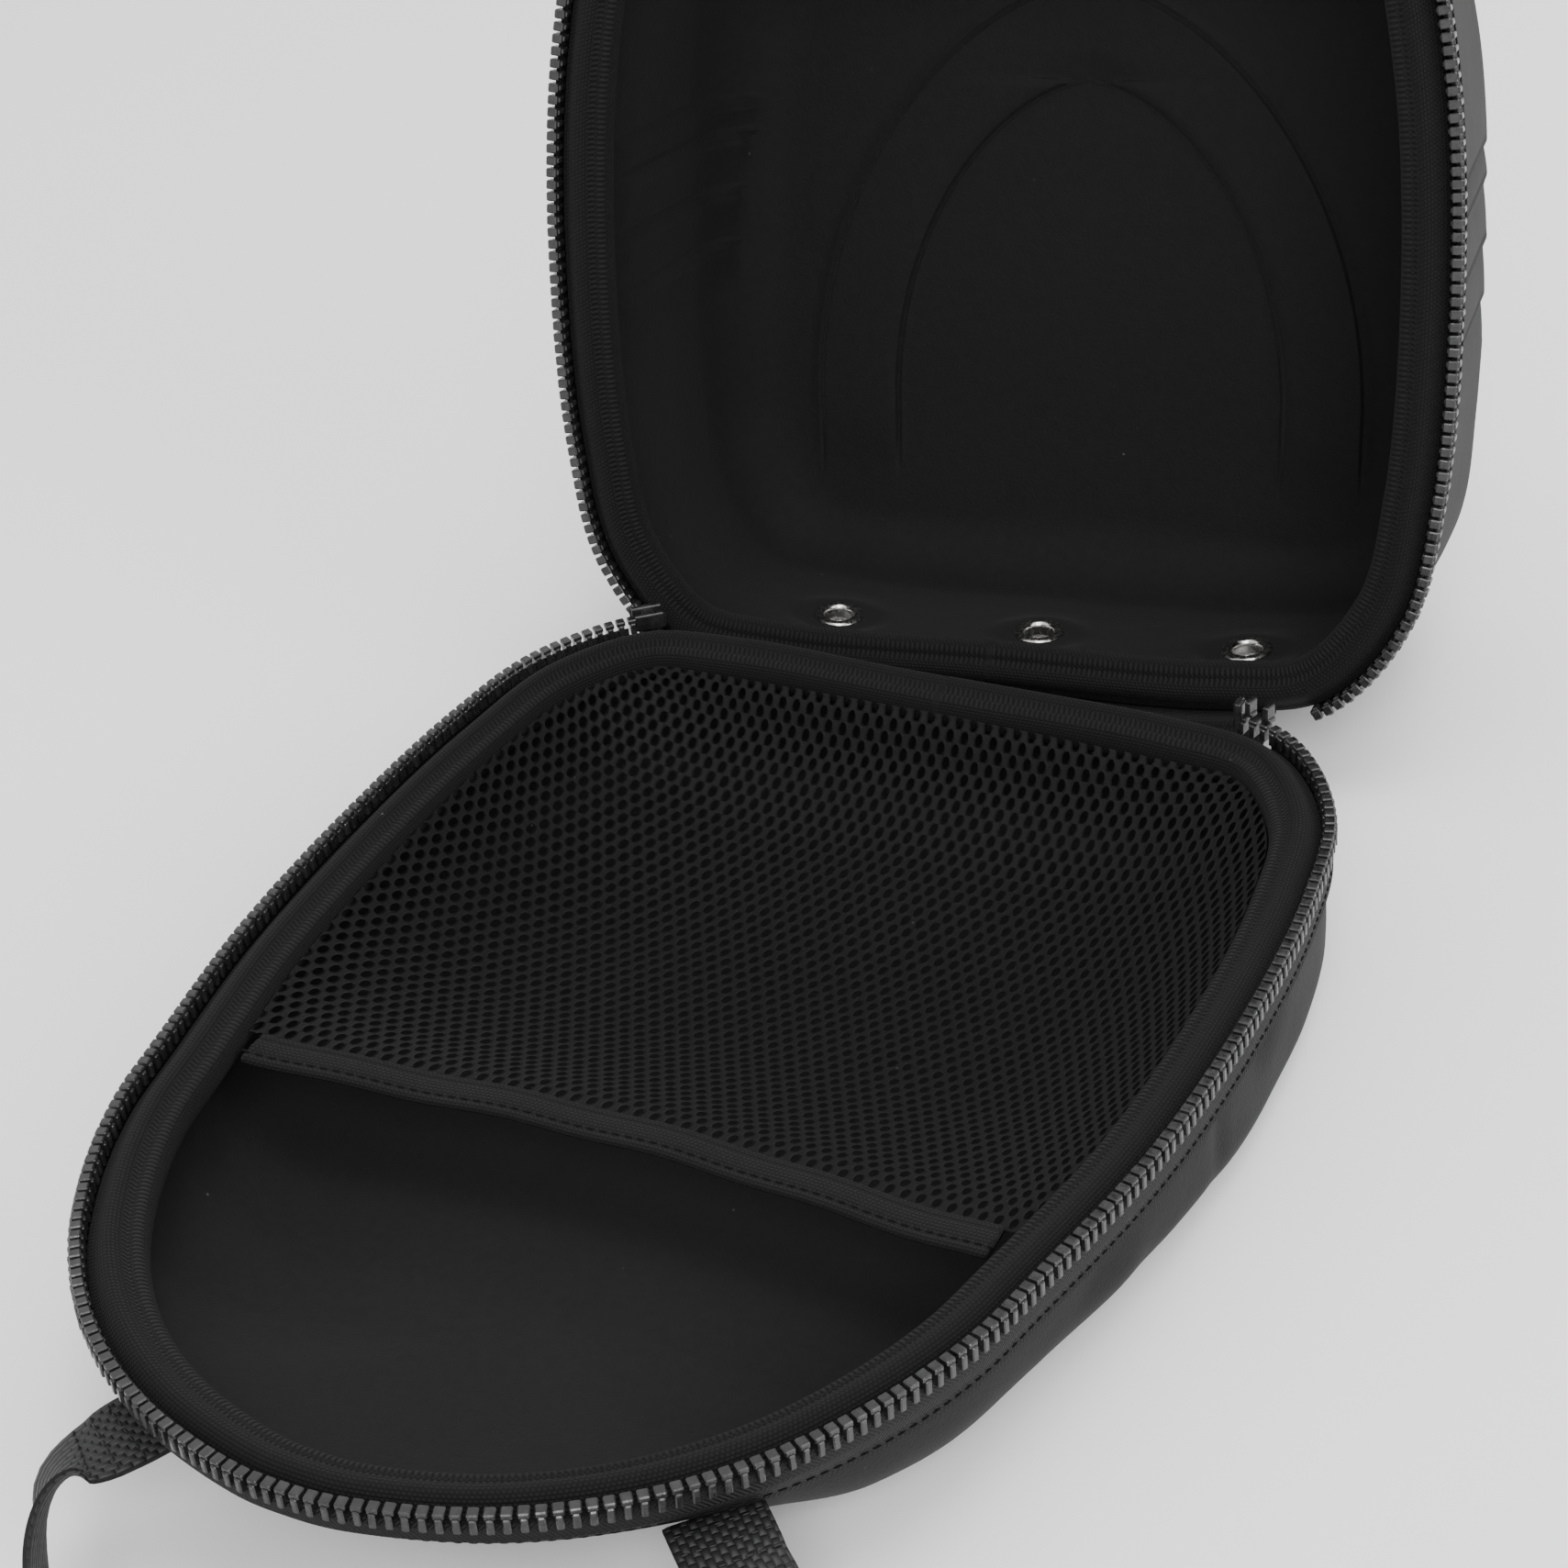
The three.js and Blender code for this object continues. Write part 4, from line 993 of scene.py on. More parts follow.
def shell_object(name, sizes, half_name, steps, corner_rows, top_rows):
    """Hollow shell of one half, with a rounded edge, as one mesh."""
    half = HALVES[half_name]
    rim = Rim(sizes, steps)
    is_lid = half_name == "lid"
    straight = np.linspace(0, 1, 9)
    if is_lid:
        # Rows lie closest where the slats end
        straight = np.concatenate([np.linspace(0, 0.44, 6), np.linspace(0.44, 0.73, 19)[1:],
                                   np.linspace(0.73, 1, 5)[1:]])
    outer, outer_marks = shell_rows(sizes, rim, half, 0.0, straight, corner_rows - 4,
                                    top_rows - 14, is_lid)
    inner, inner_marks = shell_rows(sizes, rim, half, sizes.wall, straight, corner_rows,
                                    top_rows, is_lid)
    if not is_lid:
        outer[..., :2] -= rim.normals[None] * base_dents(sizes, rim, outer)[..., None]
    lip = []
    middle = (outer[0] + inner[0]) / 2
    for angle in (30, 60, 90, 120, 150):
        point = middle + (outer[0] - middle) * math.cos(math.radians(angle))
        up = math.sin(math.radians(angle)) * sizes.wall * 0.28
        point[:, 2] -= half["side"] * up
        lip.append(point)
    lip = np.array(lip)
    if is_lid:
        seats = eyelet_seats(sizes, Rim(sizes, RIM_STEPS))
        outer = seated(outer, seats, sizes.wall / 2)
        inner = seated(inner, seats, -sizes.wall / 2)
    rows = np.concatenate([outer[::-1], lip, inner])
    faces = grid_faces(len(rows), rim.steps, False, True)
    if is_lid:
        open_points = in_eyelet(rows, seats, CLOTH_HOLE).reshape(-1)
        faces = faces[~open_points[faces].any(1)]
        rows = opened(rows)
    uvs = grid_uvs(rim.travel, lengths_along(rows[:, 0]))
    made = make_object(name, rows.reshape(-1, 3), faces, uvs)
    if is_lid:
        blank = np.zeros(lip.shape[:2])
        labels = ("outer_arch", "inner_arch", "arch_mask", "slat_edge", "slat_mask")
        for label, outside, inside in zip(labels, outer_marks, inner_marks):
            values = np.concatenate([outside[::-1], blank, inside]).ravel()
            made.data.attributes.new(label, "FLOAT", "POINT").data.foreach_set(
                "value", values.astype(np.float32))
    return face_outwards(made)


def binding_object(name, sizes, half_name, steps):
    """Rolled binding: a full roll beside the teeth, a groove, and a second, flatter roll."""
    half = HALVES[half_name]
    rim = Rim(sizes, steps)
    section = [(-0.3, 7.6), (-0.8, 5.6), (-2.4, 4.7), (-3.6, 3.0), (-5.3, 1.7), (-7.4, 1.9),
               (-8.7, 3.0), (-9.5, 4.1), (-10.6, 3.7), (-12.4, 4.6), (-13.2, 7.2), (-12.7, 10.2),
               (-10.4, 12.6), (-7.2, 12.9), (-4.0, 12.8), (-3.3, 10.2), (-3.3, 7.7)]
    line = resample(centripetal([np.array(p) * MM for p in section], True, 6), 44)[:-1]
    wave = (np.sin(rim.travel * 41.0) + np.sin(rim.travel * 97.0 + 1.3)) * 0.00012
    rows = []
    for offset, up in line:
        height = np.full(rim.steps, up) - wave * smoothstep(0.006, 0.002, up)
        limit = -sizes.wall - sizes.gap - lean(sizes, rim, half, np.maximum(height, sizes.shell_edge))
        clear = np.where(height > sizes.shell_edge - sizes.gap, np.minimum(offset, limit), offset)
        row = rim_row(sizes, rim, half, clear, 0.0)
        row[:, 2] += height
        rows.append(row)
    return ring_object(name, in_place(stand(sizes, half, rows), half_name))


def zip_range(sizes, rim, right_end):
    """Steps of the rim that the zip runs along, from its right end round the nose to its left."""
    x, y = rim.points.T
    return np.nonzero((y < 0) | (x > right_end) | (x < -sizes.chain_left_end))[0]


def tape_object(name, sizes, half_name, steps):
    half = HALVES[half_name]
    rim = Rim(sizes, steps)
    keep = zip_range(sizes, rim, sizes.chain_split)
    inner = sizes.gap
    outer = inner + sizes.tape
    low, high = 0.0034, sizes.tape_end
    section = [(inner, low), (inner, 0.006), (inner, sizes.shell_edge), (inner, 0.011),
               (inner, high), (outer * 0.8, high + 0.0001), (outer + 0.0003, high - 0.0006),
               (outer - 0.0001, high - 0.0016), (outer, 0.011), (outer + 0.0001, 0.0095),
               (outer, sizes.shell_edge), (outer, 0.006), (outer - 0.0001, low)]
    rows = np.array([rim_row(sizes, rim, half, offset, up, True)[keep] for offset, up in section])
    return ring_object(name, in_place(stand(sizes, half, rows), half_name), looped=False)


def tooth_mesh():
    """One moulded tooth: a stem that grips the tape and a wider head, X along the zip."""
    tooth = bmesh.new()
    parts = (((0.0015, 0.0034, 0.0036), 0.0032), ((0.0023, 0.0026, 0.0014), 0.0011))
    for (along, across, up), middle in parts:
        made = bmesh.ops.create_cube(tooth, size=1.0)
        bmesh.ops.scale(tooth, vec=(along, across, up), verts=made["verts"])
        bmesh.ops.translate(tooth, vec=(0, 0, middle), verts=made["verts"])
    bmesh.ops.bevel(tooth, geom=list(tooth.edges), offset=0.00028, segments=1, affect="EDGES")
    return mesh_from("tooth", tooth)


def spacing_tree(name, material):
    """Sets a copy of one object at equal steps along a line, turned to follow it."""
    tree, t, given, out = new_group(
        name,
        [("Geometry", "Geometry", None), ("Piece", "Object", None), ("Pitch", "Float", 0.0031),
         ("Upward", "Vector", (0, 0, 1)), ("Looseness", "Float", 0.03), ("Seed", "Int", 3)],
        [("Geometry", "Geometry")], "Geometry")
    line = t.node("GeometryNodeMeshToCurve")
    t.link(given["Geometry"], line.inputs["Mesh"])
    steps = t.node("GeometryNodeResampleCurve", mode="LENGTH")
    t.link(line.outputs[0], steps.inputs["Curve"])
    t.link(given["Pitch"], steps.inputs["Length"])
    tangent = t.node("GeometryNodeInputTangent")
    along = t.node("FunctionNodeAlignEulerToVector", axis="X")
    t.link(tangent.outputs[0], along.inputs["Vector"])
    upright = t.node("FunctionNodeAlignEulerToVector", axis="Z", pivot_axis="X")
    t.link(along.outputs[0], upright.inputs["Rotation"])
    t.link(given["Upward"], upright.inputs["Vector"])
    chance = t.node("FunctionNodeRandomValue", data_type="FLOAT_VECTOR")
    spread = t.node("ShaderNodeCombineXYZ")
    back = t.node("ShaderNodeVectorMath", operation="SCALE")
    for socket in spread.inputs:
        t.link(given["Looseness"], socket)
    t.link(spread.outputs[0], back.inputs[0])
    back.inputs["Scale"].default_value = -1.0
    t.link(back.outputs[0], chance.inputs[0])
    t.link(spread.outputs[0], chance.inputs[1])
    t.link(given["Seed"], chance.inputs["Seed"])
    turn = t.node("FunctionNodeRotateEuler", space="LOCAL")
    t.link(upright.outputs[0], turn.inputs["Rotation"])
    t.link(chance.outputs[0], turn.inputs["Rotate By"])
    info = t.node("GeometryNodeObjectInfo")
    t.link(given["Piece"], info.inputs["Object"])
    copies = t.node("GeometryNodeInstanceOnPoints")
    t.link(steps.outputs[0], copies.inputs["Points"])
    t.link(info.outputs["Geometry"], copies.inputs["Instance"])
    t.link(turn.outputs[0], copies.inputs["Rotation"])
    real = t.node("GeometryNodeRealizeInstances")
    t.link(copies.outputs[0], real.inputs[0])
    finish = t.node("GeometryNodeSetMaterial")
    finish.inputs["Material"].default_value = material
    t.link(real.outputs[0], finish.inputs["Geometry"])
    t.link(finish.outputs[0], out[0])
    return tree


def spaced_along(name, points, piece, pitch, upward, loose, seed, material):
    """Plain mesh of copies of a piece along a line."""
    edges = [(i, i + 1) for i in range(len(points) - 1)]
    mesh = bpy.data.meshes.new(name + "_line")
    mesh.from_pydata([tuple(p) for p in points], edges, [])
    path = new_object(name + "_line", mesh)
    model = new_object(name + "_one", piece)
    tree = spacing_tree(name + " spacing", material)
    modifier = path.modifiers.new("Spacing", "NODES")
    modifier.node_group = tree
    sockets = {item.name: item.identifier for item in tree.interface.items_tree
               if item.in_out == "INPUT"}
    for label, value in (("Piece", model), ("Pitch", pitch), ("Upward", upward),
                         ("Looseness", loose), ("Seed", seed)):
        modifier[sockets[label]] = value
    graph = bpy.context.evaluated_depsgraph_get()
    result = bpy.data.meshes.new_from_object(path.evaluated_get(graph), depsgraph=graph)
    path.modifiers.remove(modifier)
    for obj in (path, model):
        bpy.data.objects.remove(obj)
    return paint(new_object(name, result), material)


def turned_into_place(obj, half_name):
    if half_name == "lid":
        obj.data.transform(swing(-OPEN_ANGLE))
        obj.data.update()
    return obj


def chain_line(sizes, half, right_end, offset=None, up=0.0):
    """Closed case's line along one half of the zip."""
    rim = Rim(sizes, CHAIN_STEPS)
    keep = zip_range(sizes, rim, right_end)
    on_wall = offset is not None
    offset = sizes.gap + sizes.tape / 2 if offset is None else offset
    return stand(sizes, half, rim_row(sizes, rim, half, offset, up, on_wall)[keep])


def teeth_object(name, sizes, half_name):
    half = HALVES[half_name]
    is_lid = half_name == "lid"
    line = chain_line(sizes, half, sizes.chain_split if is_lid else sizes.chain_end)
    upward = (0, 0, float(half["side"]))
    made = spaced_along(name, line[3 if is_lid else 0:], tooth_mesh(), sizes.tooth_pitch, upward,
                        loose=0.03, seed=3, material=look("teeth"))
    return turned_into_place(made, half_name)


def joined_teeth_object(name, sizes):
    """Upper teeth of the short length that stays joined at the right end, with its stop."""
    line = chain_line(sizes, HALVES["lid"], sizes.chain_end)
    right = (line[:, 0] > 0) & (line[:, 0] < sizes.chain_split - 0.0005)
    line = line[right & (line[:, 1] > 0)]
    made = spaced_along(name, line[3:], tooth_mesh(), sizes.tooth_pitch, UP, loose=0.03, seed=4,
                        material=look("teeth"))
    mesh = bmesh.new()
    mesh.from_mesh(made.data)
    box_part(mesh, (0.0022, 0.0042, 0.0078), tuple(line[0] - (0.0010, 0, 0)), 0.0006)
    mesh.to_mesh(made.data)
    mesh.free()
    return made


def seam_object(name, sizes, half_name):
    """Stitches that hold the far edge of a tape."""
    half = HALVES[half_name]
    line = chain_line(sizes, half, sizes.chain_split, sizes.gap + sizes.tape + 0.0001,
                      sizes.tape_end - 0.0022)
    return turned_into_place(stitches_along(name, line, TAPE_STITCH, 7, "trim"), half_name)


def inside_half_width(sizes, rim, y):
    offset = -sizes.wall - sizes.binding - 2 * sizes.gap
    side = (rim.points + rim.normals * offset)[rim.points[:, 0] > 0]
    order = np.argsort(side[:, 1])
    return np.interp(y, side[order, 1], side[order, 0])


def net_points(sizes, rim, along, across):
    """Points of the net: along from the back rim to the hem, across from -1 to 1."""
    back = sizes.length / 2 - sizes.wall - sizes.binding - 2 * sizes.gap
    side = back + (sizes.length / 2 - sizes.net_length - back) * along
    y = side + along * sizes.net_bow * (1 - across * across)
    sag = sizes.net_sag * table(NET_BOWL, "depth", along) * (1 - across ** 4)
    rim_z = sizes.base_height - sizes.rim_sag * np.sin(
        np.pi * np.clip((sizes.length / 2 - side) / sizes.length, 0, 1))
    x = across * inside_half_width(sizes, rim, side)
    z = rim_z - sizes.net_drop - sag
    return np.stack([x, y, z], -1)


def net_object(name, sizes):
    rim = Rim(sizes, 600)
    along = 1 - (1 - np.linspace(0, 1, 120)) ** 1.15
    across = np.sin(np.linspace(-1, 1, 130) * math.pi / 2 * 0.96) / math.sin(math.pi / 2 * 0.96)
    v, u = np.meshgrid(along, across, indexing="ij")
    points = net_points(sizes, rim, v, u)
    ripple = np.sin(u * 9.0 + 3 * v) * np.sin(v * 7.0 + 0.7) * 0.0007
    points[..., 2] += ripple * (1 - u ** 2) * np.sin(np.pi * v)
    rows, columns = v.shape
    across_length = np.concatenate([np.zeros((rows, 1)), np.cumsum(
        np.linalg.norm(np.diff(points, axis=1), axis=2), axis=1)], 1)
    across_length -= across_length[:, columns // 2][:, None]
    along_length = np.concatenate([np.zeros((1, columns)), np.cumsum(
        np.linalg.norm(np.diff(points, axis=0), axis=2), axis=0)])
    middle = along_length[:, columns // 2]
    uvs = np.stack([across_length, np.broadcast_to(middle[:, None], across_length.shape)], -1)
    faces = grid_faces(rows, columns, False, False)
    return make_object(name, points.reshape(-1, 3), faces, uvs.reshape(-1, 2))


def hem_object(name, sizes):
    rim = Rim(sizes, 600)
    across = np.linspace(-0.965, 0.965, 160)
    edge = net_points(sizes, rim, np.ones_like(across), across)
    ripple = np.sin(across * 15) * 0.0004
    edge[:, 2] += ripple
    width = sizes.hem
    half = 0.0011
    shifts = [(0.0006, 0.0), (0.0, 0.75), (-0.0010, 1.0), (-0.0016, 0.72), (-0.0024, 1.0),
              (-width / 2, 1.05), (-width + 0.0030, 0.9), (-width + 0.0022, 0.6),
              (-width + 0.0012, 0.95), (-width + 0.0002, 0.7), (-width - 0.0002, 0.0),
              (-width + 0.0002, -0.7), (-width / 2, -0.9), (0.0, -0.7)]
    rows = []
    for shift, up in shifts:
        row = edge.copy()
        row[:, 1] += shift
        row[:, 2] += up * half - 0.0002
        rows.append(row)
    return ring_object(name, rows, looped=False), edge


def stitch_mesh(length, thickness):
    """One stitch: a short rounded thread, X along the seam."""
    thread = bmesh.new()
    bmesh.ops.create_uvsphere(thread, u_segments=8, v_segments=6, radius=0.5)
    bmesh.ops.scale(thread, vec=(length, thickness, thickness * 0.8), verts=thread.verts)
    for face in thread.faces:
        face.smooth = True
    return mesh_from("stitch", thread)


def stitches_along(name, line, stitch, seed, thread):
    """Row of stitches along a line, in the look of their thread."""
    length, thickness, pitch = stitch
    return spaced_along(name, line, stitch_mesh(length, thickness), pitch, UP,
                        loose=STITCH_LOOSENESS, seed=seed, material=look(thread))


def hinge_object(name, sizes):
    """Cloth band over the fold between base and lid, with soft folds across it."""
    rim = Rim(sizes, RIM_STEPS)
    keep = [i for i in range(rim.steps)
            if rim.points[i, 1] > 0 and abs(rim.points[i, 0]) <= HINGE_HALF_WIDTH]
    keep.sort(key=lambda i: rim.points[i, 0])
    x, wall = rim.points[keep, 0], rim.points[keep, 1]
    fold = sizes.base_height - HINGE_DROP - x * math.tan(HINGE_TILT)
    gap, thick = sizes.gap, HINGE_THICKNESS
    top = sizes.base_height

    def lid_row(offset, up):
        closed = np.column_stack([x, wall + offset, np.full(len(x), top + up)])
        return opened(closed)

    def base_row(offset, z):
        return np.column_stack([x, wall + offset, z])

    start = base_row(gap, np.full(len(x), top - sizes.shell_edge))
    corner = base_row(gap, fold - 0.001)
    near = lid_row(gap + thick, 0.0)
    end = lid_row(gap + thick, sizes.shell_edge + 0.002)
    under = []
    for share in np.linspace(0, 1, 8):
        under.append(start + (corner - start) * share)
    for share in np.linspace(0, 1, 22)[1:]:
        row = corner + (near - corner) * share
        row[:, 2] -= np.sin(np.pi * share) * HINGE_SAG
        row[:, 2] += HINGE_RIPPLE * np.sin(share * 19 + x * 26) * np.sin(np.pi * share)
        under.append(row)
    for share in np.linspace(0, 1, 6)[1:]:
        under.append(near + (end - near) * share)
    under = np.array(under)
    step = unit(np.gradient(under, axis=0))
    side = unit(np.cross(step, np.array([1.0, 0, 0])))
    if side[3, len(x) // 2, 1] < 0:
        side = -side
    over = under + side * thick
    rows = np.concatenate([under, over[::-1]])
    return ring_object(name, rows, looped=False)


def handle_rows(sizes):
    """Path of the handle with the directions of its width and thickness."""
    rim = Rim(sizes, RIM_STEPS)
    half = HALVES["base"]
    up = sizes.tape_end + sizes.gap + sizes.strap_thickness / 2
    nose = np.nonzero(rim.points[:, 1] < 0)[0]
    feet, normals = [], []
    wall = stand(sizes, half, rim_row(sizes, rim, half, 0.0013, up, True))
    for x in HANDLE_ENDS:
        i = nose[np.argmin(np.abs(rim.points[nose, 0] - x))]
        feet.append(wall[i])
        normals.append(np.array([*rim.normals[i], 0.0]))
    ends = []
    for foot, normal in zip(feet, normals):
        ends.append([foot + normal * share * sizes.handle_reach
                     - np.array([0, 0, share * share * sizes.handle_droop])
                     for share in (0, 0.25, 0.5)])
    low = feet[0][2] - sizes.handle_droop
    nose_y = -sizes.length / 2
    bend = [np.array([HANDLE_MIDDLE + share * HANDLE_HALF,
                      nose_y - sizes.handle_reach * (1 - 0.3 * share ** 2), low])
            for share in (-0.72, 0, 0.72)]
    line = resample(centripetal(ends[0] + bend + ends[1][::-1], False, 30), 160)
    tangent = unit(np.gradient(line, axis=0))
    t = np.linspace(0, 1, len(line))
    turned = smoothstep(0.02, 0.2, np.minimum(t, 1 - t))[:, None]
    first = (t < 0.5)[:, None]
    normal = np.where(first, normals[0], normals[1])
    flat = np.stack([-normal[:, 1], normal[:, 0], np.zeros(len(t))], 1)
    edge = np.where(first, [0, 0, 1.0], [0, 0, -1.0])
    width = flat * (1 - turned) + edge * turned
    width -= tangent * (width * tangent).sum(1)[:, None]
    width = np.where(first, unit(width), -unit(width))
    return line, width, np.cross(tangent, width)


def handle_object(name, sizes):
    line, width, thick = handle_rows(sizes)
    section = [(side, 1.0) for side in np.linspace(1, -1, 21)]
    section += [(side, -1.0) for side in np.linspace(-1, 1, 21)]
    rows = []
    for side, face in section:
        edge_round = 1 - 0.45 * smoothstep(0.86, 1.0, abs(side))
        rib = 1 - 0.10 * (0.5 + 0.5 * math.cos(side * math.pi * 8))
        rows.append(line + width * side * sizes.strap / 2
                    + thick * face * sizes.strap_thickness / 2 * edge_round * rib)
    return ring_object(name, rows, looped=False)


def eyelet_object(name, sizes, seat):
    """Rolled ring through the back wall, turned from one section."""
    middle, turn = seat
    r_out, r_in = sizes.eyelet / 2, sizes.eyelet_hole / 2
    half = sizes.wall / 2
    face = [(r_in + 0.1 * MM, half + 0.3 * MM), (r_in + 0.7 * MM, half + 0.9 * MM),
            (r_in + 1.4 * MM, half + 1.0 * MM), (r_out - 0.9 * MM, half + 0.85 * MM),
            (r_out - 0.25 * MM, half + 0.55 * MM), (r_out, half), (r_out - 0.5 * MM, half - 0.3 * MM),
            (r_in + 0.8 * MM, half - 0.3 * MM)]
    section = [(r_in, -half * 0.6), (r_in, half * 0.6)] + face
    section += [(radius, -depth) for radius, depth in reversed(face)]
    turns = np.linspace(0, 2 * math.pi, 65)[:-1]
    rows = [np.stack([radius * np.cos(turns), np.full(len(turns), depth),
                      radius * np.sin(turns)], 1) for radius, depth in section]
    made = ring_object(name, rows)
    made.data.transform(swing(-OPEN_ANGLE) @ Matrix.Translation(Vector(middle)) @ turn)
    made.data.update()
    return made


def handle_stitches_object(name, sizes):
    """Rows of stitches across both sewn ends of the handle, on both faces."""
    line, width, thick = handle_rows(sizes)
    rows = []
    for end in (1, -1):
        for step in (2, 5, 8, 11):
            at = step if end > 0 else len(line) - 1 - step
            for face in (1, -1):
                across = np.linspace(-0.82, 0.82, 12)[:, None] * width[at] * sizes.strap / 2
                lift = thick[at] * face * (sizes.strap_thickness / 2 + 0.0001)
                rows.append(line[at] + across + lift)
    parts = [stitches_along(name + str(i), row, HANDLE_STITCH, 11 + i, "webbing")
             for i, row in enumerate(rows)]
    mesh = bmesh.new()
    for part in parts:
        mesh.from_mesh(part.data)
        bpy.data.objects.remove(part)
    return paint(new_object(name, mesh_from(name, mesh)), look("webbing"))


def box_part(mesh, size_xyz, middle, bevel):
    made = bmesh.ops.create_cube(mesh, size=1.0)
    bmesh.ops.scale(mesh, vec=size_xyz, verts=made["verts"])
    bmesh.ops.translate(mesh, vec=middle, verts=made["verts"])
    edges = list({edge for vert in made["verts"] for edge in vert.link_edges})
    bmesh.ops.bevel(mesh, geom=edges, offset=bevel, segments=3, affect="EDGES")


def slider_object(name, sizes):
    """Slider with its crown and its hanging pull, parked on the left end of the chain."""
    rim = Rim(sizes, RIM_STEPS)
    left = np.nonzero((rim.points[:, 0] < 0) & (rim.points[:, 1] > 0.1))[0]
    at = left[np.argmin(np.abs(rim.points[left, 0] + sizes.chain_left_end))]
    normal = rim.normals[at]
    middle = sizes.slider_length / 2 + sizes.gap
    out = 3 * sizes.gap + sizes.slider_width / 2
    up = sizes.base_height + rim.dip(sizes)[at] - sizes.gap - sizes.slider_height / 2
    long, wide, tall = sizes.slider_length, sizes.slider_width, sizes.slider_height
    mesh = bmesh.new()
    for side in (-1, 1):
        plate = (middle, out + side * (wide / 2 - 0.0008), up)
        box_part(mesh, (long, 0.0016, tall), plate, 0.0007)
    box_part(mesh, (0.0030, wide - 0.0010, 0.0034), (middle, out, up), 0.0005)
    crown = out + wide / 2 + 0.0002
    box_part(mesh, (0.0052, 0.0012, 0.0018), (middle, crown, up + 0.0012), 0.0005)
    box_part(mesh, (0.0036, 0.0010, 0.0060), (middle, crown, up - 0.0022), 0.0004)
    box_part(mesh, (0.0050, 0.0016, 0.0172), (middle, crown - 0.0003, up - 0.0132), 0.0007)
    for step in range(3):
        rib = (middle, crown + 0.0005, up - 0.0150 - step * 0.0022)
        box_part(mesh, (0.0036, 0.0006, 0.0009), rib, 0.0002)
    turn = Matrix.Rotation(-math.atan2(normal[0], normal[1]), 4, "Z")
    mesh.transform(Matrix.Translation(Vector((*rim.points[at], 0))) @ turn)
    return new_object(name, mesh_from(name, mesh))


# Stage


def pale_floor():
    floor = make_object("floor", [(-6, -6, 0), (6, -6, 0), (6, 6, 0), (-6, 6, 0)], [(0, 1, 2, 3)])
    material, _, shader = new_material("Pale floor")
    set_inputs(shader, {"Base Color": (0.92, 0.92, 0.92, 1), "Roughness": 0.9})
    paint(floor, material)


def pale_room(scene):
    world = bpy.data.worlds.new("Pale room")
    world.use_nodes = True
    set_inputs(world.node_tree.nodes["Background"], {"Color": (1, 1, 1, 1), "Strength": 1.15})
    scene.world = world


def soft_lights():
    """Wide lamps, all turned to the middle of the case."""
    for name, place, width, power in LIGHTS:
        lamp = bpy.data.lights.new(name, "AREA")
        lamp.size = width
        lamp.energy = power
        obj = new_object(name, lamp)
        obj.location = place
        aim = Vector(LIGHT_AIM) - Vector(place)
        obj.rotation_euler = aim.to_track_quat("-Z", "Y").to_euler()


def photo_camera(scene):
    azimuth, elevation, roll = (math.radians(a) for a in CAMERA_ANGLES)
    back = Vector((math.sin(azimuth) * math.cos(elevation),
                   -math.cos(azimuth) * math.cos(elevation), math.sin(elevation)))
    right = (-back).cross(Vector((0, 0, 1))).normalized()
    up = right.cross(-back)
    turned_right = math.cos(roll) * right + math.sin(roll) * up
    turned_up = -math.sin(roll) * right + math.cos(roll) * up
    lens = bpy.data.cameras.new("camera")
    lens.sensor_width = SENSOR
    lens.lens = FOCAL_SHARE * SENSOR
    lens.clip_start = 0.01
    camera = new_object("camera", lens)
    turn = Matrix((turned_right, turned_up, back)).transposed().to_4x4()
    camera.matrix_world = Matrix.Translation(Vector(CAMERA_PLACE)) @ turn
    scene.camera = camera


# Operators


class CaseShells(bpy.types.Operator):
    """Moulds the two cloth-covered shells"""
    bl_idname = "case.shells"
    bl_label = "Shells"

    def execute(self, context):
        sizes = context.scene.case_sizes
        base = shell_object("base_moulding", sizes, "base", steps=440, corner_rows=20, top_rows=30)
        finish_piece(paint(base, look("shell")), BASE_BODY, "moulded_shell", "base_shell")
        lid = shell_object("lid_moulding", sizes, "lid", steps=600, corner_rows=16, top_rows=44)
        finish_piece(paint(lid, look("lid")), LID_BODY, "moulded_shell", "lid_shell")
        return {"FINISHED"}


class CaseBindings(bpy.types.Operator):
    """Rolls the binding round each rim"""
    bl_idname = "case.bindings"
    bl_label = "Bindings"

    def execute(self, context):
        sizes = context.scene.case_sizes
        for half, body in (("base", BASE_BODY), ("lid", LID_BODY)):
            made = binding_object(half + "_rolled_binding", sizes, half, steps=520)
            finish_piece(paint(made, look("binding")), body, "woven_trim", half + "_binding")
        return {"FINISHED"}


class CaseZip(bpy.types.Operator):
    """Sews in the tapes and sets the teeth and the slider"""
    bl_idname = "case.zip"
    bl_label = "Zip"

    def execute(self, context):
        sizes = context.scene.case_sizes
        for half, body in (("base", BASE_BODY), ("lid", LID_BODY)):
            tape = tape_object(half + "_tape", sizes, half, steps=600)
            finish_piece(paint(tape, look("tape")), body, "woven_trim", half + "_zip_tape")
            teeth = teeth_object(half + "_teeth", sizes, half)
            finish_piece(teeth, body, "tooth_plastic", half + "_zip_teeth")
            finish_piece(seam_object(half + "_tape_stitches", sizes, half), body, "woven_trim")
        finish_piece(joined_teeth_object("joined_teeth", sizes), BASE_BODY, "tooth_plastic")
        slider = slider_object("slider_with_pull", sizes)
        finish_piece(paint(slider, look("teeth")), BASE_BODY, "tooth_plastic", "zip_slider")
        return {"FINISHED"}


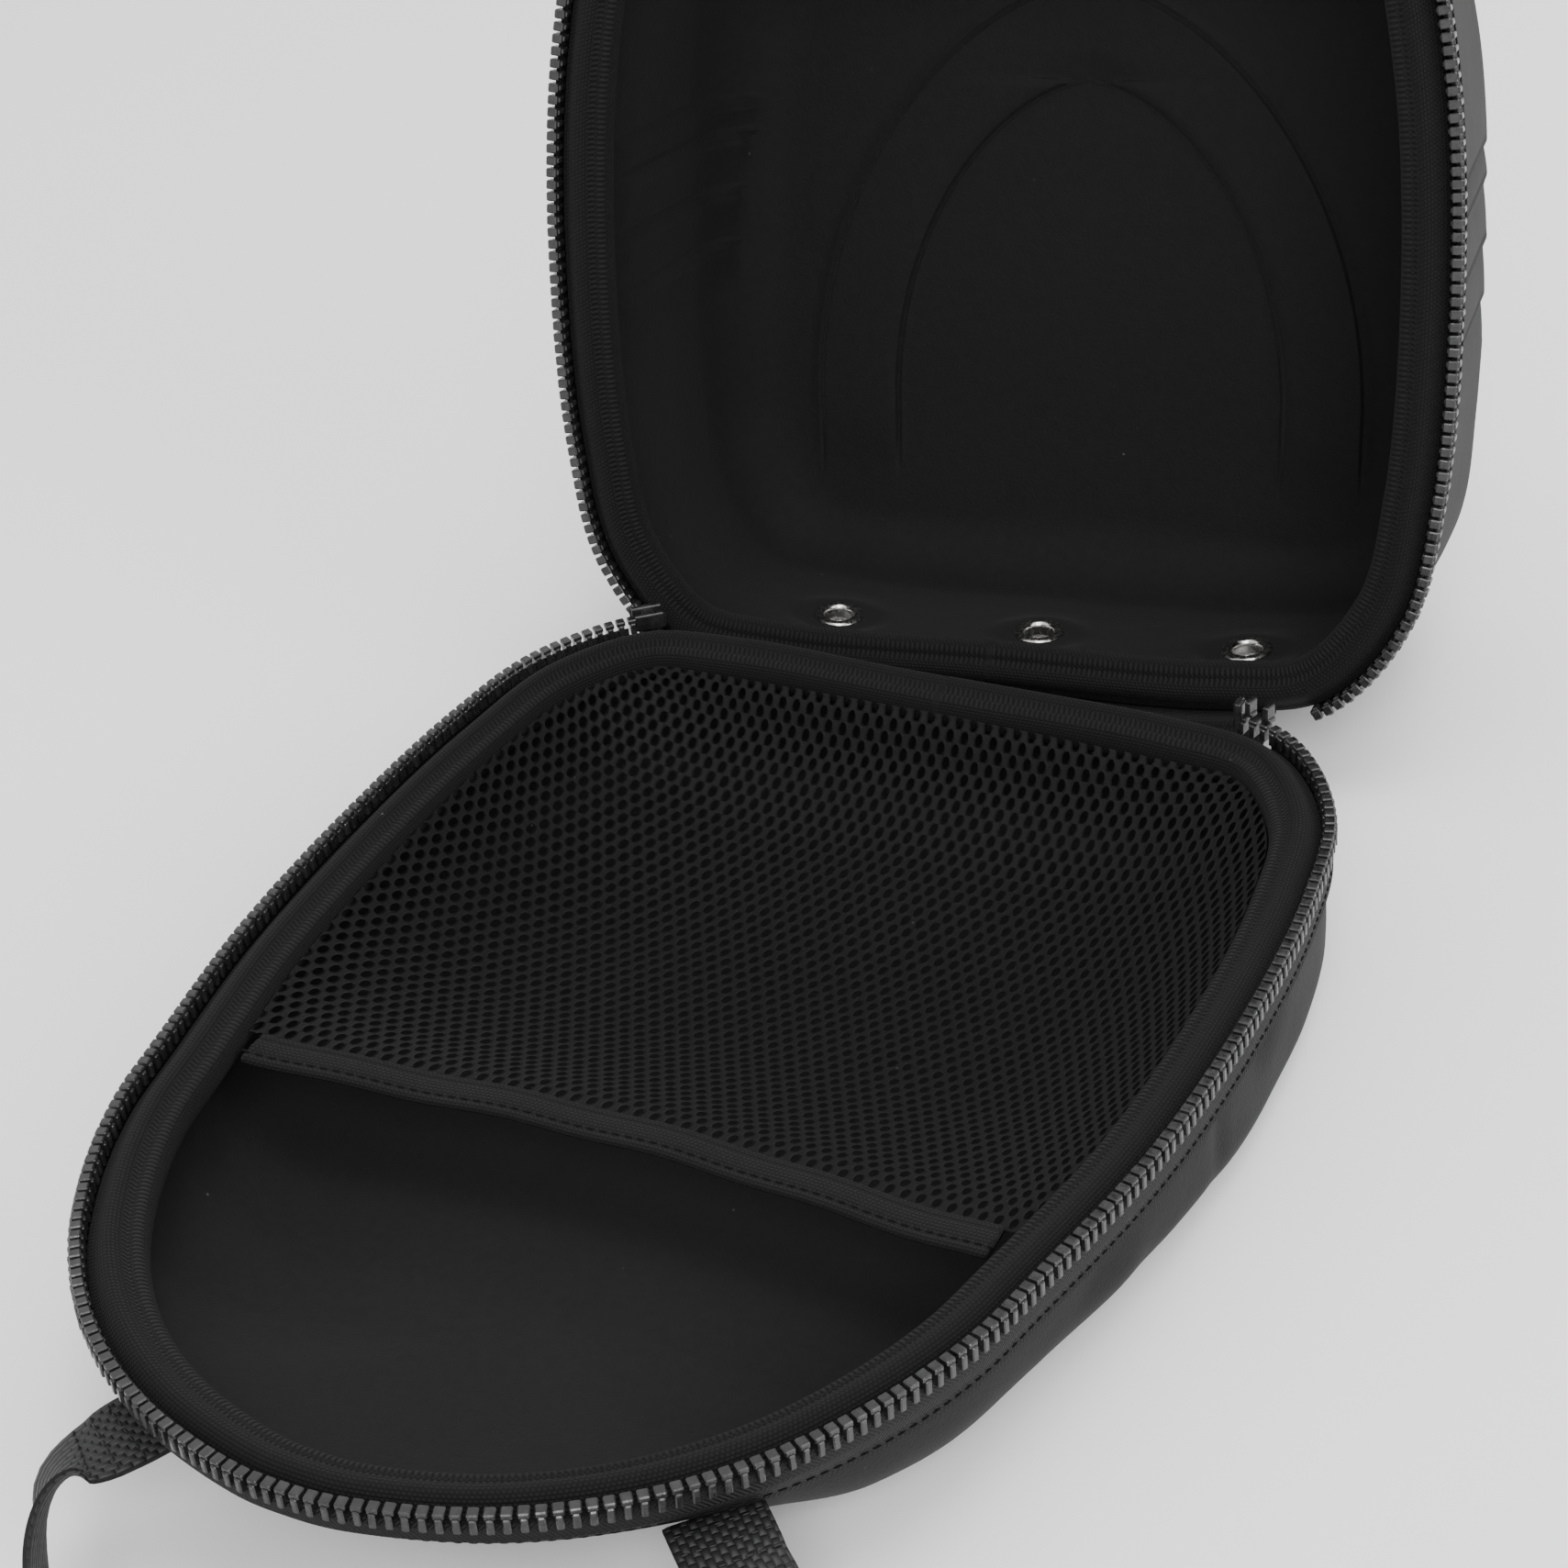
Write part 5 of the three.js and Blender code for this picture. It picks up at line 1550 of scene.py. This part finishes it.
class CaseNet(bpy.types.Operator):
    """Stretches the net and sews its hem"""
    bl_idname = "case.net"
    bl_label = "Net pocket"

    def execute(self, context):
        sizes = context.scene.case_sizes
        net = net_object("net_sheet", sizes)
        hem, edge = hem_object("net_hem", sizes)
        line = edge.copy()
        line[:, 1] -= sizes.hem - 0.0022
        line[:, 2] += 0.0009
        stitches = stitches_along("hem_stitches", line, HEM_STITCH, 5, "trim")
        finish_piece(paint(net, look("net")), BASE_BODY, "net", "mesh_pocket")
        finish_piece(paint(hem, look("trim")), BASE_BODY, "woven_trim", "pocket_hem")
        finish_piece(stitches, BASE_BODY, "woven_trim")
        return {"FINISHED"}


class CaseHinge(bpy.types.Operator):
    """Lays the cloth hinge over its fold"""
    bl_idname = "case.hinge"
    bl_label = "Cloth hinge"

    def execute(self, context):
        sizes = context.scene.case_sizes
        band = hinge_object("hinge_cloth", sizes)
        paint(band, look("trim"))
        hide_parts("hinge_band")
        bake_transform(band)
        return {"FINISHED"}


class CaseHandle(bpy.types.Operator):
    """Weaves the webbing handle and sews down its ends"""
    bl_idname = "case.handle"
    bl_label = "Handle"

    def execute(self, context):
        sizes = context.scene.case_sizes
        handle = handle_object("webbing_handle", sizes)
        finish_piece(paint(handle, look("webbing")), BASE_BODY, "webbing", "carry_handle")
        finish_piece(handle_stitches_object("handle_stitches", sizes), BASE_BODY, "webbing")
        return {"FINISHED"}


class CaseEyelets(bpy.types.Operator):
    """Presses the eyelets into the lid's back wall"""
    bl_idname = "case.eyelets"
    bl_label = "Eyelets"

    def execute(self, context):
        sizes = context.scene.case_sizes
        seats = eyelet_seats(sizes, Rim(sizes, RIM_STEPS))
        for seat, name in zip(seats, ("left", "middle", "right")):
            made = eyelet_object("ring_" + name, sizes, seat)
            finish_piece(paint(made, look("metal")), LID_BODY, "eyelet_metal", "eyelet_" + name)
        return {"FINISHED"}


class CaseStage(bpy.types.Operator):
    """Sets up the floor, the soft light and the camera"""
    bl_idname = "case.stage"
    bl_label = "Stage"

    def execute(self, context):
        pale_floor()
        pale_room(context.scene)
        soft_lights()
        photo_camera(context.scene)
        return {"FINISHED"}


class CasePanel(bpy.types.Panel):
    """Lists the pieces of the case"""
    bl_idname = "VIEW3D_PT_case"
    bl_label = "Case"
    bl_space_type = "VIEW_3D"
    bl_region_type = "UI"
    bl_category = "Case"

    def draw(self, context):
        column = self.layout.column(align=True)
        for step in STEPS:
            column.operator(step.bl_idname)


STEPS = (CaseStage, CaseShells, CaseBindings, CaseZip, CaseNet, CaseHinge, CaseHandle, CaseEyelets)
CLASSES = (CaseSizes, CaseColours, *STEPS, CasePanel)


def register():
    for cls in CLASSES:
        bpy.utils.register_class(cls)
    bpy.types.Scene.case_sizes = bpy.props.PointerProperty(type=CaseSizes)
    bpy.types.Scene.case_colours = bpy.props.PointerProperty(type=CaseColours)


def unregister():
    del bpy.types.Scene.case_colours
    del bpy.types.Scene.case_sizes
    for cls in reversed(CLASSES):
        bpy.utils.unregister_class(cls)


def main():
    register()
    bpy.ops.case.stage()
    bpy.ops.case.shells()
    bpy.ops.case.bindings()
    bpy.ops.case.zip()
    bpy.ops.case.net()
    bpy.ops.case.hinge()
    bpy.ops.case.handle()
    bpy.ops.case.eyelets()


if __name__ == "__main__":
    main()
